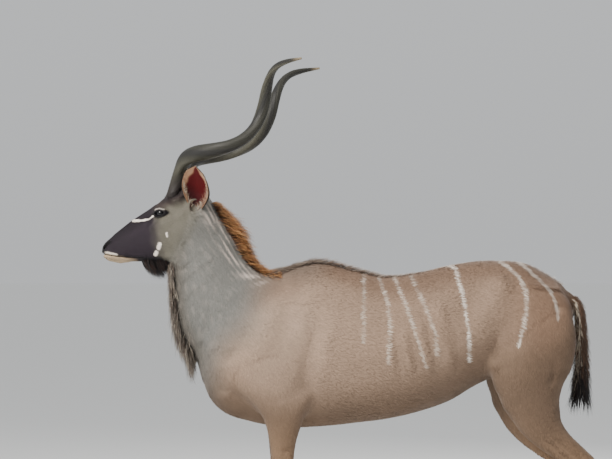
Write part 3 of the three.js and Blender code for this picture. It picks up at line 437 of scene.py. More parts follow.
def skin_distance(points, inset=0.0):
    """The blend of all lofts and details. Points outside the skin have a positive distance. The inset is how
    deep the skin lies under the coat, less where the hair is short, on the head and the lower legs."""
    result = smooth_min(torso.distance(points), neck.distance(points), 0.07)
    for name, loft in legs.items():
        result = smooth_min(result, loft.distance(points), 0.035 if name.startswith("front") else 0.05)
    dock, share = line_distance(points - SHIFT, TAIL_DOCK)
    result = smooth_min(result, dock - (0.024 - 0.011 * share), 0.03)
    head_gap = head.distance(points)
    result = smooth_min(result, head_gap, 0.035)
    short_haired = 0.6 * (1 - ramp(head_gap, 0.0, 0.06)) + 0.4 * (1 - ramp(points[..., 2], 0.5, 0.9))
    result = result + inset * (1 - short_haired)
    near = np.abs(result) < DETAIL_REACH
    close = points[near]
    value = result[near] - relief(close)
    in_head = (head.local(close)[0] > -0.09) & (close[:, 2] > 1.35) & (close[:, 0] < neck.origin[0] + 0.12)
    value[in_head] = head_details(close[in_head], value[in_head])
    result[near] = value
    return result


def outward_of(points, inset=0.0, step=0.0015):
    """The skin's outward direction at points, from distances a short step to each side."""
    slopes = [skin_distance(points + step * axis, inset) - skin_distance(points - step * axis, inset)
              for axis in np.eye(3)]
    return unit(np.stack(slopes, -1))


def graded_places(low, high, coarse, fine_low, fine_high, fine):
    """Places from low to high, spaced coarsely, but finely between two bounds."""
    before = np.linspace(low, fine_low, max(int((fine_low - low) / coarse), 1) + 1)[:-1]
    within = np.linspace(fine_low, fine_high, int((fine_high - fine_low) / fine) + 1)
    after = np.linspace(fine_high, high, max(int((high - fine_high) / coarse), 1) + 1)[1:]
    return np.concatenate([before, within, after])


def wrap_surface(values, places):
    """A closed quad mesh where values change sign: one point in each cell that the surface crosses, at the
    middle of its crossings, and one face across each grid edge that changes sign."""
    inside = values < 0
    shape = np.array(values.shape)
    cell_sum = np.zeros(shape - 1, int)
    corners = [(i, j, k) for i in (0, 1) for j in (0, 1) for k in (0, 1)]
    for i, j, k in corners:
        cell_sum += inside[i:shape[0] - 1 + i, j:shape[1] - 1 + j, k:shape[2] - 1 + k]
    cells = np.argwhere((cell_sum > 0) & (cell_sum < 8))
    number = np.full(shape - 1, -1)
    number[tuple(cells.T)] = np.arange(len(cells))
    total = np.zeros((len(cells), 3))
    count = np.zeros(len(cells))
    faces = []
    for axis in range(3):
        step = np.eye(3, dtype=int)[axis]
        others = [np.eye(3, dtype=int)[(axis + 1) % 3], np.eye(3, dtype=int)[(axis + 2) % 3]]
        for a in (0, 1):
            for b in (0, 1):
                start = cells + a * others[0] + b * others[1]
                end = start + step
                v0, v1 = values[tuple(start.T)], values[tuple(end.T)]
                crossed = (v0 < 0) != (v1 < 0)
                share = np.where(crossed, v0 / np.where(crossed, v0 - v1, 1), 0)[:, None]
                p0 = np.stack([places[n][start[:, n]] for n in range(3)], -1)
                p1 = np.stack([places[n][end[:, n]] for n in range(3)], -1)
                total += np.where(crossed[:, None], p0 + share * (p1 - p0), 0)
                count += crossed
        low = [slice(1, -1)] * 3
        low[axis] = slice(0, -1)
        high = list(low)
        high[axis] = slice(1, None)
        edges = np.argwhere(inside[tuple(low)] != inside[tuple(high)])
        edges = edges + np.array([0 if n == axis else 1 for n in range(3)])
        around = [edges - others[0] - others[1], edges - others[1], edges, edges - others[0]]
        quad = np.stack([number[tuple(cell.T)] for cell in around], -1)
        leaving = inside[tuple(edges.T)]
        faces.append(np.where(leaving[:, None], quad, quad[:, ::-1]))
    return total / count[:, None], np.concatenate(faces)


def mesh_piece(name, points, faces, smooth=True):
    """A mesh object from an array of points and one of faces that all have as many corners."""
    mesh = bpy.data.meshes.new(name)
    faces = np.asarray(faces)
    mesh.vertices.add(len(points))
    mesh.vertices.foreach_set("co", np.asarray(points, np.float32).ravel())
    mesh.loops.add(faces.size)
    mesh.loops.foreach_set("vertex_index", faces.astype(np.int32).ravel())
    mesh.polygons.add(len(faces))
    mesh.polygons.foreach_set("loop_start", np.arange(0, faces.size, faces.shape[1], dtype=np.int32))
    mesh.update(calc_edges=True)
    mesh.validate()
    mesh.polygons.foreach_set("use_smooth", np.full(len(mesh.polygons), smooth))
    piece = bpy.data.objects.new(name, mesh)
    bpy.context.scene.collection.objects.link(piece)
    return piece


def fill_grid(places):
    """Skin distances at all grid points, one layer of X at a time."""
    values = np.empty([len(axis) for axis in places], np.float32)
    y, z = np.meshgrid(places[1], places[2], indexing="ij")
    for index, x in enumerate(places[0]):
        layer = np.stack([np.full_like(y, x), y, z], -1)
        values[index] = skin_distance(layer.reshape(-1, 3), SKIN_DEPTH).reshape(y.shape)
    return values


# For X, Y and Z: the bounds of the hide and its coarse step, then the bounds of the head and its fine step
SKIN_DEPTH = 0.005
SKIN_GRID = [
    (-1.02, 1.00, 0.010, -0.975, -0.545, 0.0028),
    (-0.25, 0.25, 0.008, -0.11, 0.13, 0.006),
    (0.03, 1.76, 0.010, 1.375, 1.72, 0.0028),
]
grid_places = [graded_places(low + shift, high + shift, coarse, head_low + shift, head_high + shift, fine)
               for (low, high, coarse, head_low, head_high, fine), shift in zip(SKIN_GRID, SHIFT)]


skin_points, skin_faces = wrap_surface(fill_grid(grid_places), grid_places)
for _ in range(2):
    slope = outward_of(skin_points, SKIN_DEPTH)
    gap = np.clip(skin_distance(skin_points, SKIN_DEPTH), -0.003, 0.003)
    skin_points = skin_points - slope * gap[:, None]
skin = mesh_piece("skin", skin_points, skin_faces)
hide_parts("head", "neck", "torso", "leg_front_left", "leg_front_right", "leg_hind_left",
            "leg_hind_right")
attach(skin, "root")


# Coat colours and finish
# The coat is grey brown with thin white stripes, the neck grey, the face dark with a white chevron and cheek
# spots, the lower legs tawny. Skin and hair take their colour from the same markings, worked out in mm.

# Stripes: strength, and the corners of the line in X and Z. The lines on the head run forward and up.
STRIPES = [
    (0.34, [(70, 1385), (68, 1300), (64, 1104)]),
    (0.42, [(112, 1380), (128, 1344), (158, 1250), (166, 1156), (158, 1025)]),
    (0.46, [(170, 1385), (188, 1340), (226, 1239), (256, 1145), (301, 1010)]),
    (0.34, [(235, 1385), (263, 1314), (293, 1247), (335, 1134), (342, 1055)]),
    (0.95, [(370, 1410), (391, 1389), (417, 1374), (440, 1265), (459, 1164), (462, 1029)]),
    (0.62, [(560, 1425), (620, 1378), (658, 1344), (680, 1292), (676, 1213), (665, 1153), (650, 1085)]),
    (0.50, [(650, 1410), (733, 1337), (778, 1292), (796, 1247), (804, 1187)]),
]
STRIPE_HALF_WIDTH = 5.5
RIGHT_SIDE_STRIPE_SHIFT = -22
CHEVRON = [(129, 47), (149, 42), (179, 49), (213, 62)]
# Painted highlight: a pale line on the upper lid and brow where light catches it.
BROW_HIGHLIGHT_LINE = [(112, 67), (94, 65), (76, 53)]
CHEEK_SPOTS = [((101, -34), (104, -46), 3.4), ((143, -62), (154, -74), 7.5), ((170, -85), (178, -91), 7)]
UPPER_LIP = [(372, -6), (345, -20), (316, -37)]
LOWER_LIP = [(366, -26), (340, -44), (300, -72), (262, -92)]
# Painted shade: a dark band from the corner of the mouth back along the lower jaw, under the cheek.
MOUTH_CORNER_SHADE = [(244, -87), (218, -97), (168, -116)]
# A place on each border and the direction across it: from neck to body, and from head to neck
NECK_BORDER = ((-384, 0, 1187), (0.816, 0, -0.578))
HEAD_BORDER = ((-584, 0, 1505), (0.886, 0, -0.468))


def linear(red, green, blue):
    """Linear light of an sRGB colour given from 0 to 255."""
    value = np.array([red, green, blue]) / 255
    return np.where(value <= 0.04045, value / 12.92, ((value + 0.055) / 1.055) ** 2.4)


COAT = {
    "body": linear(141, 118, 100), "back": linear(112, 89, 73), "belly": linear(98, 80, 65),
    "shoulder": linear(160, 138, 120), "rump": linear(126, 99, 80), "neck": linear(103, 102, 98),
    "throat": linear(78, 73, 66), "cheek": linear(98, 94, 84), "face": linear(39, 32, 39),
    "bridge": linear(28, 22, 28), "nose": linear(15, 12, 15), "forehead": linear(56, 46, 44),
    "white": linear(236, 226, 214), "cream": linear(182, 160, 132), "black": linear(26, 23, 25),
    "tawny": linear(134, 107, 82), "garter": linear(52, 42, 38), "streak": linear(206, 190, 178),
    "ear": linear(44, 8, 10), "lips": linear(14, 10, 12),
}


def blended(colour, other, share):
    """A colour that goes over into another by a share from 0 to 1."""
    return colour + share * (other - colour)


def wobble(places, wave, seed):
    """A smooth random value about -1 to 1 that changes over a wave length: five crossing sine waves."""
    rng = np.random.default_rng(seed)
    ways = unit(rng.normal(size=(5, places.shape[-1]))) * (2 * math.pi / wave) * rng.uniform(0.7, 1.4, (5, 1))
    return np.sin(places @ ways.T + rng.uniform(0, 2 * math.pi, 5)).mean(-1) * 1.6


def mark(distance, half_width, edge):
    """One inside a band's half width, nothing outside it by more than its soft edge."""
    return 1 - ramp(distance, half_width - edge / 2, half_width + edge / 2)


def border_distance(place, border):
    """How far places in mm lie across a border."""
    return (place - border[0]) @ np.array(border[1])


def coat_colour(points):
    """The coat's colour at points: body shades first, then each marking laid over what is there, with painted
    shade on the belly and along the lower jaw and a painted highlight over the eyes. Clouds and soft edges
    come from smooth random values."""
    place = (points - SHIFT) / MM
    x, side, z = place[:, 0], place[:, 1], place[:, 2]
    level = np.stack([x, np.abs(side), z], -1)
    cloud = wobble(level, 260, 1)
    colour = np.tile(COAT["body"], (len(points), 1))

    def lay(name, strength):
        nonlocal colour
        colour = blended(colour, COAT[name], np.clip(strength, 0, 1)[:, None])

    top, bottom = torso.section(points[:, 0] - SHIFT[0])[:2]
    below_back = top / MM - z
    lay("shoulder", (0.75 + 0.25 * cloud) * np.exp(-((x + 230) / 190) ** 2 - ((z - 1130) / 190) ** 2))
    lay("rump", 0.8 * ramp(x, 520, 760))
    lay("back", 0.85 * (1 - ramp(below_back, 25, 130 + 30 * cloud)))
    # Painted shade in part: the belly darkens towards the underside, the coat's own darker belly with shade
    # painted in to show the form.
    lay("belly", 0.9 * (1 - ramp(z - bottom / MM, 10, 200)))
    neck_side = border_distance(place, NECK_BORDER)
    head_side = border_distance(place, HEAD_BORDER)
    lay("neck", 1 - ramp(neck_side + 40 * cloud, -110, 150))
    along, across, up = (value / MM for value in neck.local(points))
    crown, throat = neck.section(along * MM)[:2]
    on_neck = (1 - ramp(neck_side, -90, 20)) * ramp(head_side, -50, 10)
    lay("throat", 0.75 * on_neck * (1 - ramp(up - throat / MM, 18, 90 + 20 * cloud)))
    strands = wobble(np.stack([along / 6, across, up], -1), 20, 2)
    streak_band = np.exp(-((up - crown / MM + 40) / 26) ** 2)
    lay("streak", 0.8 * on_neck * streak_band * ramp(strands, -0.4, 0.9))
    lay("streak", 0.07 * on_neck * ramp(strands, 0.0, 1.1))

    along, across, up = (value / MM for value in head.local(points))
    across = np.abs(across)
    on_head = 1 - ramp(head_side, -60, 20)
    soft = 6 * wobble(level, 40, 3)
    lay("cheek", on_head)
    lay("face", on_head * ramp(along + 0.35 * up + soft, 92, 168))
    lay("bridge", 0.85 * on_head * ramp(up - 0.1 * (200 - along) + soft, 18, 46) * ramp(along, 60, 120))
    lay("forehead", on_head * ramp(up + soft, 40, 78) * (1 - ramp(along, 80, 140)))
    lay("black", 0.75 * on_head * mark(np.hypot(along - 34, across - 38), 48, 26) * ramp(up, 66, 90))
    face = on_head > 0.5
    flat = np.stack([along, up], -1) * MM
    eye_level = (along - EYE_CENTRE[0]) * 0.25 + EYE_CENTRE[2]
    almond = np.hypot((along - EYE_CENTRE[0]) / 2.3, up - eye_level)
    lay("black", on_head * mark(almond, 14.5, 5))
    gap, share = line_distance(flat, UPPER_LIP)
    lay("white", 0.95 * face * mark(gap / MM + 0.35 * soft, 7.5 - 4.0 * share, 5))
    # Painted highlight: a thin pale line over the upper lid.
    lay("white", 0.5 * face * mark(line_distance(flat, BROW_HIGHLIGHT_LINE)[0] / MM, 2.0, 2.5) * (across > 12))
    chin = mark(line_distance(flat, LOWER_LIP)[0] / MM + 0.4 * soft, 16, 14)
    lay("cream", 0.95 * face * chin * ramp(along + 0.5 * soft - 0.4 * up, 268, 330))
    # Painted shade: black laid in a band from the mouth corner back along the lower jaw, under the cheek.
    lay("black", 0.9 * face * mark(line_distance(flat, MOUTH_CORNER_SHADE)[0] / MM + 0.4 * soft, 10, 14))
    lay("lips", 0.9 * face * mark(line_distance(flat, MOUTH_LINE)[0] / MM, 2.4, 2.4))
    lay("nose", face * ramp(along + 0.5 * up, 340, 358) * ramp(up, -24, -12))
    for side_sign in (-1, 1):
        root, axis, _, _ = ear_frame(side_sign)
        above_root = (points - root) @ axis / MM + 0.4 * soft
        in_cup = 1 - ramp(ear_hollow(points, side_sign), 0.0, 0.0015)
        lay("ear", in_cup * ramp(above_root, EAR_BARE_FROM, 40))
    gap, share = line_distance(flat, CHEVRON)
    lay("white", face * mark(gap / MM + 0.15 * soft, 2.2 + 2.6 * share, 3))
    nostril = line_distance(np.stack([along, across, up], -1) * MM, NOSTRIL_LINE)[0] / MM
    lay("lips", face * mark(nostril, 9, 4))
    for start, end, half in CHEEK_SPOTS:
        lay("white", face * mark(line_distance(flat, [start, end])[0] / MM + 0.2 * soft, half, 4))

    lay("tawny", 0.85 * (1 - ramp(z + 30 * cloud, 480, 900)))
    for name, loft in legs.items():
        front, rear, _, wide, _, offset = (value / MM for value in loft.section(points[:, 2]))
        near = np.abs(x + (front + rear) / 2) < (front - rear)
        near &= np.abs(side - offset) < 1.6 * wide
        if name.startswith("front"):
            lay("garter", 0.65 * near * ramp(-x - (front + rear) / 2 + 0.1 * soft, -6, 10)
                * np.exp(-((z - 520 - soft) / 95) ** 4))
        lay("white", 0.3 * near * np.exp(-((z - 128) / 16) ** 2) * ramp(-x - (front + rear) / 2, 0, 12))
        lay("black", 0.9 * near * (1 - ramp(z + 0.5 * soft, 66, 84)))
    over = np.stack([x, z], -1)
    for strength, line in STRIPES:
        shift = np.where(side > 0, RIGHT_SIDE_STRIPE_SHIFT, 0)
        gap = line_distance((over - np.stack([shift, 0 * shift], -1)) * MM, line)[0] / MM
        broken = 0.7 + 0.3 * wobble(level, 70, 4)
        lay("white", strength * broken * mark(gap + 2 * wobble(level, 30, 5), STRIPE_HALF_WIDTH, 6))
    spine = np.abs(side) + 900 * (below_back > 60)
    lay("white", 0.4 * mark(spine + 3 * wobble(level, 60, 6), 8, 8) * ramp(x, -120, 0))
    return colour


class Wire:
    """One socket of a finish. Sums, differences, products and powers of wires add Math nodes."""

    def __init__(self, finish, socket):
        self.finish = finish
        self.socket = socket

    def math(self, operation, first, second):
        return self.finish.node("Math", {"operation": operation}, {0: first, 1: second})

    def __add__(self, other):
        return self.math("ADD", self, other)

    def __sub__(self, other):
        return self.math("SUBTRACT", self, other)

    def __rsub__(self, other):
        return self.math("SUBTRACT", other, self)

    def __mul__(self, other):
        return self.math("MULTIPLY", self, other)

    def __pow__(self, other):
        return self.math("POWER", self, other)

    __radd__ = __add__
    __rmul__ = __mul__


class Finish:
    """A material with one Principled shader and the nodes that node() adds to it."""

    def __init__(self, name, **constants):
        self.material = bpy.data.materials.new(name)
        self.material.use_nodes = True
        self.tree = self.material.node_tree
        self.shader = self.tree.nodes["Principled BSDF"]
        for socket, value in constants.items():
            self.shader.inputs[socket.replace("_", " ")].default_value = value

    def node(self, kind, settings=None, inputs=None, output=0):
        """Adds a node, sets it up, feeds its sockets with values or wires and returns one output."""
        made = self.tree.nodes.new("ShaderNode" + kind)
        for key, value in (settings or {}).items():
            setattr(made, key, value)
        for key, value in (inputs or {}).items():
            self.feed(made.inputs[key], value)
        return Wire(self, made.outputs[output])

    def feed(self, socket, value):
        """Sets a socket, or links a wire to it."""
        if isinstance(value, Wire):
            self.tree.links.new(value.socket, socket)
        else:
            socket.default_value = value

    def noise(self, vector, scale, detail=2.0, roughness=0.5):
        """Soft random clouds about 0.5."""
        return self.node("TexNoise", inputs={"Vector": vector, "Scale": scale, "Detail": detail,
                                             "Roughness": roughness})

    def tinted(self, colour, other, factor):
        """One colour going over into another."""
        return self.node("Mix", {"data_type": "RGBA"}, {0: factor, 6: colour, 7: other}, output=2)

    def shaded(self, colour, factor):
        """A colour scaled by a value."""
        return self.node("VectorMath", {"operation": "SCALE"}, {0: colour, "Scale": factor})

    def bump(self, height, strength, distance):
        """The normal of a small relief."""
        return self.node("Bump", inputs={"Height": height, "Strength": strength, "Distance": distance})

    def connect(self, socket, value):
        self.feed(self.shader.inputs[socket], value)

    def cover(self, piece):
        piece.data.materials.clear()
        piece.data.materials.append(self.material)


def paint(piece, name, colours):
    """Stores a colour for each point of a piece under a name."""
    layer = piece.data.attributes.new(name, "FLOAT_COLOR", "POINT")
    full = np.ones((len(colours), 4), np.float32)
    full[:, :3] = colours
    layer.data.foreach_set("color", full.ravel())


def fur_finish(name, grain, bump_distance, roughness, sheen):
    """Hair: its own tint, clouded and streaked by noise, with a fine relief of strands."""
    finish = Finish(name, Sheen_Weight=sheen, Sheen_Roughness=0.45, Specular_IOR_Level=0.22)
    place = finish.node("TexCoord", output=3)
    tint = finish.node("Attribute", {"attribute_name": "Tint"})
    clouds = finish.noise(place, 9.0, 3.0)
    stretched = finish.node("Mapping", inputs={"Vector": place, "Scale": (0.22, 1, 0.5)})
    strands = finish.noise(stretched, grain, 2.0, 0.6)
    shade = 0.72 + 0.26 * clouds + 0.30 * strands
    finish.connect("Base Color", finish.shaded(tint, shade))
    finish.connect("Roughness", roughness + 0.1 * strands)
    finish.connect("Normal", finish.bump(strands, 0.6, bump_distance))
    return finish


skin_finish = fur_finish("short_coat", 420.0, 0.0010, 0.72, 0.10)
skin_finish.cover(skin)
paint(skin, "Tint", coat_colour(skin_points))


# Eyes and lids
# Each eye is a dark glossy ball with a wide flat pupil. Thick dark lids close over it in an almond shape and
# run out under the skin round the socket. The upper lid carries short lashes.
SIDES = ((-1, "left"), (1, "right"))
LID_RADII = (31, 22, 24.5)
LID_POINTS = 72
OPENING = (18.5, 9.5)
# Rings of the lids: the share of the way from the opening out to the edge, and the lift in mm
LID_PROFILE = [(0, -3.0), (0, -0.4), (0.03, 0.9), (0.08, 1.6), (0.16, 1.9), (0.26, 1.2), (0.36, -0.2),
               (0.46, 0.6), (0.58, 0.7), (0.72, 0.2), (0.86, -0.3), (1.0, -3.0)]
LID_RIM = linear(18, 15, 18)
PUPIL_NARROWNESS = (2.1, 4.6)
IRIS_NARROWNESS = (1.7, 1.9)
eye_finish = Finish("eye", Roughness=0.05, Coat_Weight=0.2, Coat_Roughness=0.02, Specular_IOR_Level=0.2)
eye_place = eye_finish.node("UVMap", {"uv_map": "Gaze"})
gaze = eye_finish.node("SeparateXYZ", inputs={0: eye_place})
gaze_up = eye_finish.node("SeparateXYZ", inputs={0: eye_place}, output=1)
pupil_gap, iris_gap = (((gaze - 0.5) * across) ** 2.0 + ((gaze_up - 0.5) * up) ** 2.0
                       for across, up in (PUPIL_NARROWNESS, IRIS_NARROWNESS))
iris_fibres = eye_finish.noise(eye_place, 60.0, 3.0)
iris = eye_finish.tinted((*linear(36, 21, 14), 1), (*linear(14, 8, 7), 1), iris_fibres)
iris_edge = eye_finish.node("MapRange", inputs={"Value": iris_gap, 1: 0.75, 2: 1.0})
ball_colour = eye_finish.tinted(iris, (*linear(9, 7, 9), 1), iris_edge)
pupil_edge = eye_finish.node("MapRange", inputs={"Value": pupil_gap, 1: 0.8, 2: 1.1})
eye_finish.connect("Base Color", eye_finish.tinted((0.004, 0.004, 0.005, 1), ball_colour, pupil_edge))
lid_finish = fur_finish("lid", 700.0, 0.0005, 0.42, 0.0)


def grid_faces(rows, columns, closed=True):
    """Quads of a grid of points, row after row. A closed grid joins its last column to its first."""
    last_column = columns if closed else columns - 1
    row, column = np.meshgrid(np.arange(rows - 1), np.arange(last_column), indexing="ij")
    following = (column + 1) % columns
    corners = [row * columns + column, row * columns + following,
               (row + 1) * columns + following, (row + 1) * columns + column]
    return np.stack(corners, -1).reshape(-1, 4)


def capped_piece(name, rings, flip=False):
    """A closed mesh over rings of points, whose ends are shut by a point at the middle of each."""
    rows, columns = rings.shape[:2]
    points = np.concatenate([rings.reshape(-1, 3), rings[:1].mean(1), rings[-1:].mean(1)])
    faces = grid_faces(rows, columns)
    first, last = rows * columns, rows * columns + 1
    step = np.arange(columns)
    following = (step + 1) % columns
    start_cap = np.stack([step * 0 + first, following, step, step * 0 + first], -1)
    base = (rows - 1) * columns
    end_cap = np.stack([step * 0 + last, base + step, base + following, step * 0 + last], -1)
    triangles = np.concatenate([faces[:, [0, 1, 2]], faces[:, [0, 2, 3]], start_cap[:, :3], end_cap[:, :3]])
    return mesh_piece(name, points, triangles[:, ::-1] if flip else triangles)


def eye_ball(centre, axes):
    """A ball with a slightly raised front, over a polar angle from the outward axis and a turn round it."""
    polar = np.linspace(0.02, math.pi - 0.02, 40)[:, None]
    turn = np.linspace(0, 2 * math.pi, 56, endpoint=False)[None, :]
    radius = EYE_RADIUS * MM * (1 + 0.045 * np.exp(-(polar / 0.5) ** 2))
    flat = [radius * np.sin(polar) * np.cos(turn), radius * np.sin(polar) * np.sin(turn),
            radius * np.cos(polar) + 0 * turn]
    rings = centre + sum(part[..., None] * axis for part, axis in zip(flat, axes))
    across = np.stack([flat[0], flat[1]], -1).reshape(-1, 2) / (2 * EYE_RADIUS * MM) + 0.5
    return rings, np.concatenate([across, [[0.5, 0.5]], [[0.5, 0.5]]])


def lid_rings(centre, axes):
    """Lids: rings from inside the almond opening, round its edge and over an oval dome to below the skin."""
    turn = np.linspace(0, 2 * math.pi, LID_POINTS, endpoint=False)
    rim = np.stack([OPENING[0] * np.cos(turn),
                    OPENING[1] * np.sin(turn) * (1 - 0.25 * np.abs(np.cos(turn)))], -1)
    outline = np.stack([LID_RADII[0] * np.cos(turn), LID_RADII[1] * np.sin(turn)], -1)
    rows = []
    for share, lift in LID_PROFILE:
        flat = rim + share * (outline * 0.985 - rim)
        slope = (flat[:, 0] / LID_RADII[0]) ** 2, (flat[:, 1] / LID_RADII[1]) ** 2
        dome = np.sqrt(np.maximum(1 - slope[0] - slope[1], 0))
        ball = np.sqrt(np.maximum((EYE_RADIUS * 1.03) ** 2 - (flat ** 2).sum(-1), 4))
        height = np.where(share < 0.1, ball + lift + 0.6, LID_RADII[2] * dome * 0.95 + lift)
        rows.append(np.concatenate([flat, height[:, None]], -1) * MM)
    return centre + np.einsum("rcn,nk->rck", np.array(rows), np.array(axes))


for side, word in SIDES:
    centre = head_place(EYE_CENTRE, side)
    axes = eye_axes(side)
    rings, gaze_map = eye_ball(centre, axes)
    eye = capped_piece(f"eye_ball_{word}", rings, flip=side < 0)
    layer = eye.data.uv_layers.new(name="Gaze")
    corner_points = np.zeros(len(eye.data.loops), np.int32)
    eye.data.loops.foreach_get("vertex_index", corner_points)
    layer.data.foreach_set("uv", gaze_map[corner_points].astype(np.float32).ravel())
    eye_finish.cover(eye)
    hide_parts(f"eye_{word}")
    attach(eye, "root")
    rings = lid_rings(centre, axes)
    lids = mesh_piece(f"lids_{word}", rings.reshape(-1, 3), grid_faces(*rings.shape[:2])[:, ::side])
    lid_finish.cover(lids)
    outward = np.repeat(ramp(np.arange(len(LID_PROFILE)), 4, 11), LID_POINTS)[:, None]
    paint(lids, "Tint", blended(LID_RIM, coat_colour(rings.reshape(-1, 3)), outward))
    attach(lids, "root")


# Horns
# Each horn is a keratin sheath wound in an open spiral, with a keel that winds with it, coarse growth rings
# near the root and a smooth pale tip. It stands in the skin of the forehead.
HORN_ROOT = (34, 42, 103)
HORN_ROOT_SET = (-11, 0, -4)
HORN_SET_REACH = 0.09
HORN_LENGTH = 770
HORN_SPIRAL_RADIUS = 53
HORN_LEAN = math.radians(20.6)
HORN_SPREAD = math.radians(14.6)
HORN_START_TURN = -90
HORN_TURNS = 1.495
HORN_GROW = 0.24
HORN_THICKNESS = (30.5, 30, 27.5, 25, 22.5, 20.5, 17, 11.5, 3)
HORN_KEEL = 0.24
HORN_BACK_KEEL = 0.08
HORN_KEEL_TURN = math.radians(100)
HORN_ROOT_BEND = 0.11
HORN_ROOT_SINK = (0, -7, -38)
HORN_ROOT_NARROWING = 0.7
HORN_CURVE_LENGTH = 1050
GROWTH_RING_SPACING = 14
HORN_RINGS = 300
HORN_CORNERS = 60


def horn_line(share, side):
    """The middle line of a horn and its keel's direction: a circle round an axis that leans back and out."""
    axis = (-math.cos(HORN_LEAN) * math.cos(HORN_SPREAD), side * math.sin(HORN_SPREAD),
            math.sin(HORN_LEAN) * math.cos(HORN_SPREAD))
    front = (math.sin(HORN_LEAN), 0, math.cos(HORN_LEAN))
    outer = (math.cos(HORN_LEAN) * math.sin(HORN_SPREAD), side * math.cos(HORN_SPREAD),
             -math.sin(HORN_LEAN) * math.sin(HORN_SPREAD))
    turn = np.radians(HORN_START_TURN + 360 * HORN_TURNS * share)
    opened = np.sin(np.minimum(share / HORN_GROW, 1) * math.pi / 2)
    radius = HORN_SPIRAL_RADIUS * opened
    set_back = np.maximum(1 - share / HORN_SET_REACH, 0) ** 2
    root = [value + set_back * shift for value, shift in zip(HORN_ROOT, HORN_ROOT_SET)]
    root[1] = side * root[1]
    local = [root[n] + HORN_LENGTH * share * axis[n]
             + radius * (np.cos(turn) * front[n] + np.sin(turn) * outer[n]) for n in range(3)]
    turn = turn + HORN_KEEL_TURN
    keel = [np.cos(turn) * front[n] + np.sin(turn) * outer[n] for n in range(3)]
    keel = unit(sum(keel[n][:, None] * axis for n, axis in enumerate((head.along, head.side, head.up))))
    return head.world(*(value * MM for value in local)), keel


def horn_rings(side):
    """Sections of a horn: a round wall with a sharp keel and a low one behind, and rings that fade upward."""
    share = np.linspace(0, 1, HORN_RINGS) ** 0.96
    line, keel = horn_line(share, side)
    ahead = horn_line(share + 0.004, side)[0]
    turned = np.minimum(share / HORN_ROOT_BEND, 1)[:, None]
    tangent = unit(unit(ahead - line) * turned + head.up * (1 - turned))
    keel = unit(keel - (keel * tangent).sum(-1, keepdims=True) * tangent)
    across = np.cross(tangent, keel)
    angle = np.linspace(0, 2 * math.pi, HORN_CORNERS, endpoint=False)[None, :]
    radius = np.interp(share, np.linspace(0, 1, len(HORN_THICKNESS)), HORN_THICKNESS)[:, None]
    wall = 1 + turned * (HORN_KEEL * np.maximum(0, np.cos(angle)) ** 6
                         + HORN_BACK_KEEL * np.maximum(0, -np.cos(angle)) ** 4)
    length = share[:, None] * HORN_CURVE_LENGTH
    fade = (1 - ramp(share, 0.25, 0.75))[:, None]
    waves = np.sin(length * 2 * math.pi / GROWTH_RING_SPACING + 1.9 * np.sin(length / 31)
                   + 1.1 * np.cos(angle * 2 + length / 90))
    unevenness = 0.6 + 0.4 * np.sin(length / 47 + 2 * np.cos(angle + length / 110))
    rings = 0.62 * fade * unevenness * (waves * np.abs(waves) ** 0.5) * (0.7 + 0.3 * np.cos(angle))
    grooves = 0.35 * np.sin(angle * 11 + 0.6 * np.sin(length / 40)) * (1 - 0.6 * fade)
    radius = radius + rings + grooves
    out = radius * MM * wall
    points = line[:, None] + keel[:, None] * (out * np.cos(angle))[..., None] \
        + across[:, None] * (0.95 * side * out * np.sin(angle))[..., None]
    forward, inward, down = (value * MM for value in HORN_ROOT_SINK)
    root = line[0] + (points[:1] - line[0]) * HORN_ROOT_NARROWING
    root = root + forward * head.along + side * inward * head.side + down * head.up
    return np.concatenate([root, points]), share, angle


horn_finish = Finish("horn_sheath", Specular_IOR_Level=0.32)
horn_tint = horn_finish.node("Attribute", {"attribute_name": "Tint"})
horn_map = horn_finish.node("Attribute", {"attribute_name": "Growth"}, output=1)
horn_map = horn_finish.node("Mapping", inputs={"Vector": horn_map, "Scale": (26, 5, 26)})
horn_fibres = horn_finish.noise(horn_map, 1.0, 5.0, 0.62)
horn_blotches = horn_finish.noise(horn_finish.node("TexCoord", output=3), 24.0, 4.0, 0.6)
horn_shade = 0.45 + 0.62 * horn_fibres + 0.5 * horn_blotches
horn_finish.connect("Base Color", horn_finish.shaded(horn_tint, horn_shade))
horn_finish.connect("Roughness", 0.36 + 0.34 * horn_blotches)
horn_finish.connect("Normal", horn_finish.bump(horn_fibres, 0.55, 0.0012))
# The groove colour is painted shade: a darker tone on the flanks between the keels, standing in for the shade
# under the horn.
HORN_COLOURS = {"wall": linear(44, 43, 37), "groove": linear(19, 18, 22), "keel": linear(70, 68, 58),
                "root": linear(30, 23, 22), "tip": linear(128, 114, 92)}

for side, word in SIDES:
    rings, share, angle = horn_rings(side)
    horn = capped_piece(f"horn_sheath_{word}", rings, flip=side > 0)
    grid = np.concatenate([[0], share])[:, None] + 0 * angle
    keel_wall = np.maximum(0, np.cos(angle)) ** 5 + 0 * grid
    # Painted shade: the flanks between the front and back keels are darkened with the groove colour.
    hollow = ramp(-np.cos(angle * 2), 0.2, 1.0) * 0.55 + 0 * grid
    shade = HORN_COLOURS["wall"]
    near_root = 0.85 * (1 - ramp(grid, 0.02, 0.17))
    near_tip = ramp(grid, 0.95, 1.0)
    for part, strength in (("keel", keel_wall), ("groove", hollow), ("root", near_root), ("tip", near_tip)):
        shade = blended(shade, HORN_COLOURS[part], strength[..., None])
    shade = shade.reshape(-1, 3)
    paint(horn, "Tint", np.concatenate([shade, shade[:1], shade[-1:]]))
    growth = np.stack([np.cos(angle) + 0 * grid, grid * 8, np.sin(angle) + 0 * grid], -1).reshape(-1, 3)
    paint(horn, "Growth", np.concatenate([growth, growth[:1], growth[-1:]]))
    horn_finish.cover(horn)
    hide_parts(f"horn_{word}")
    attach(horn, "root")


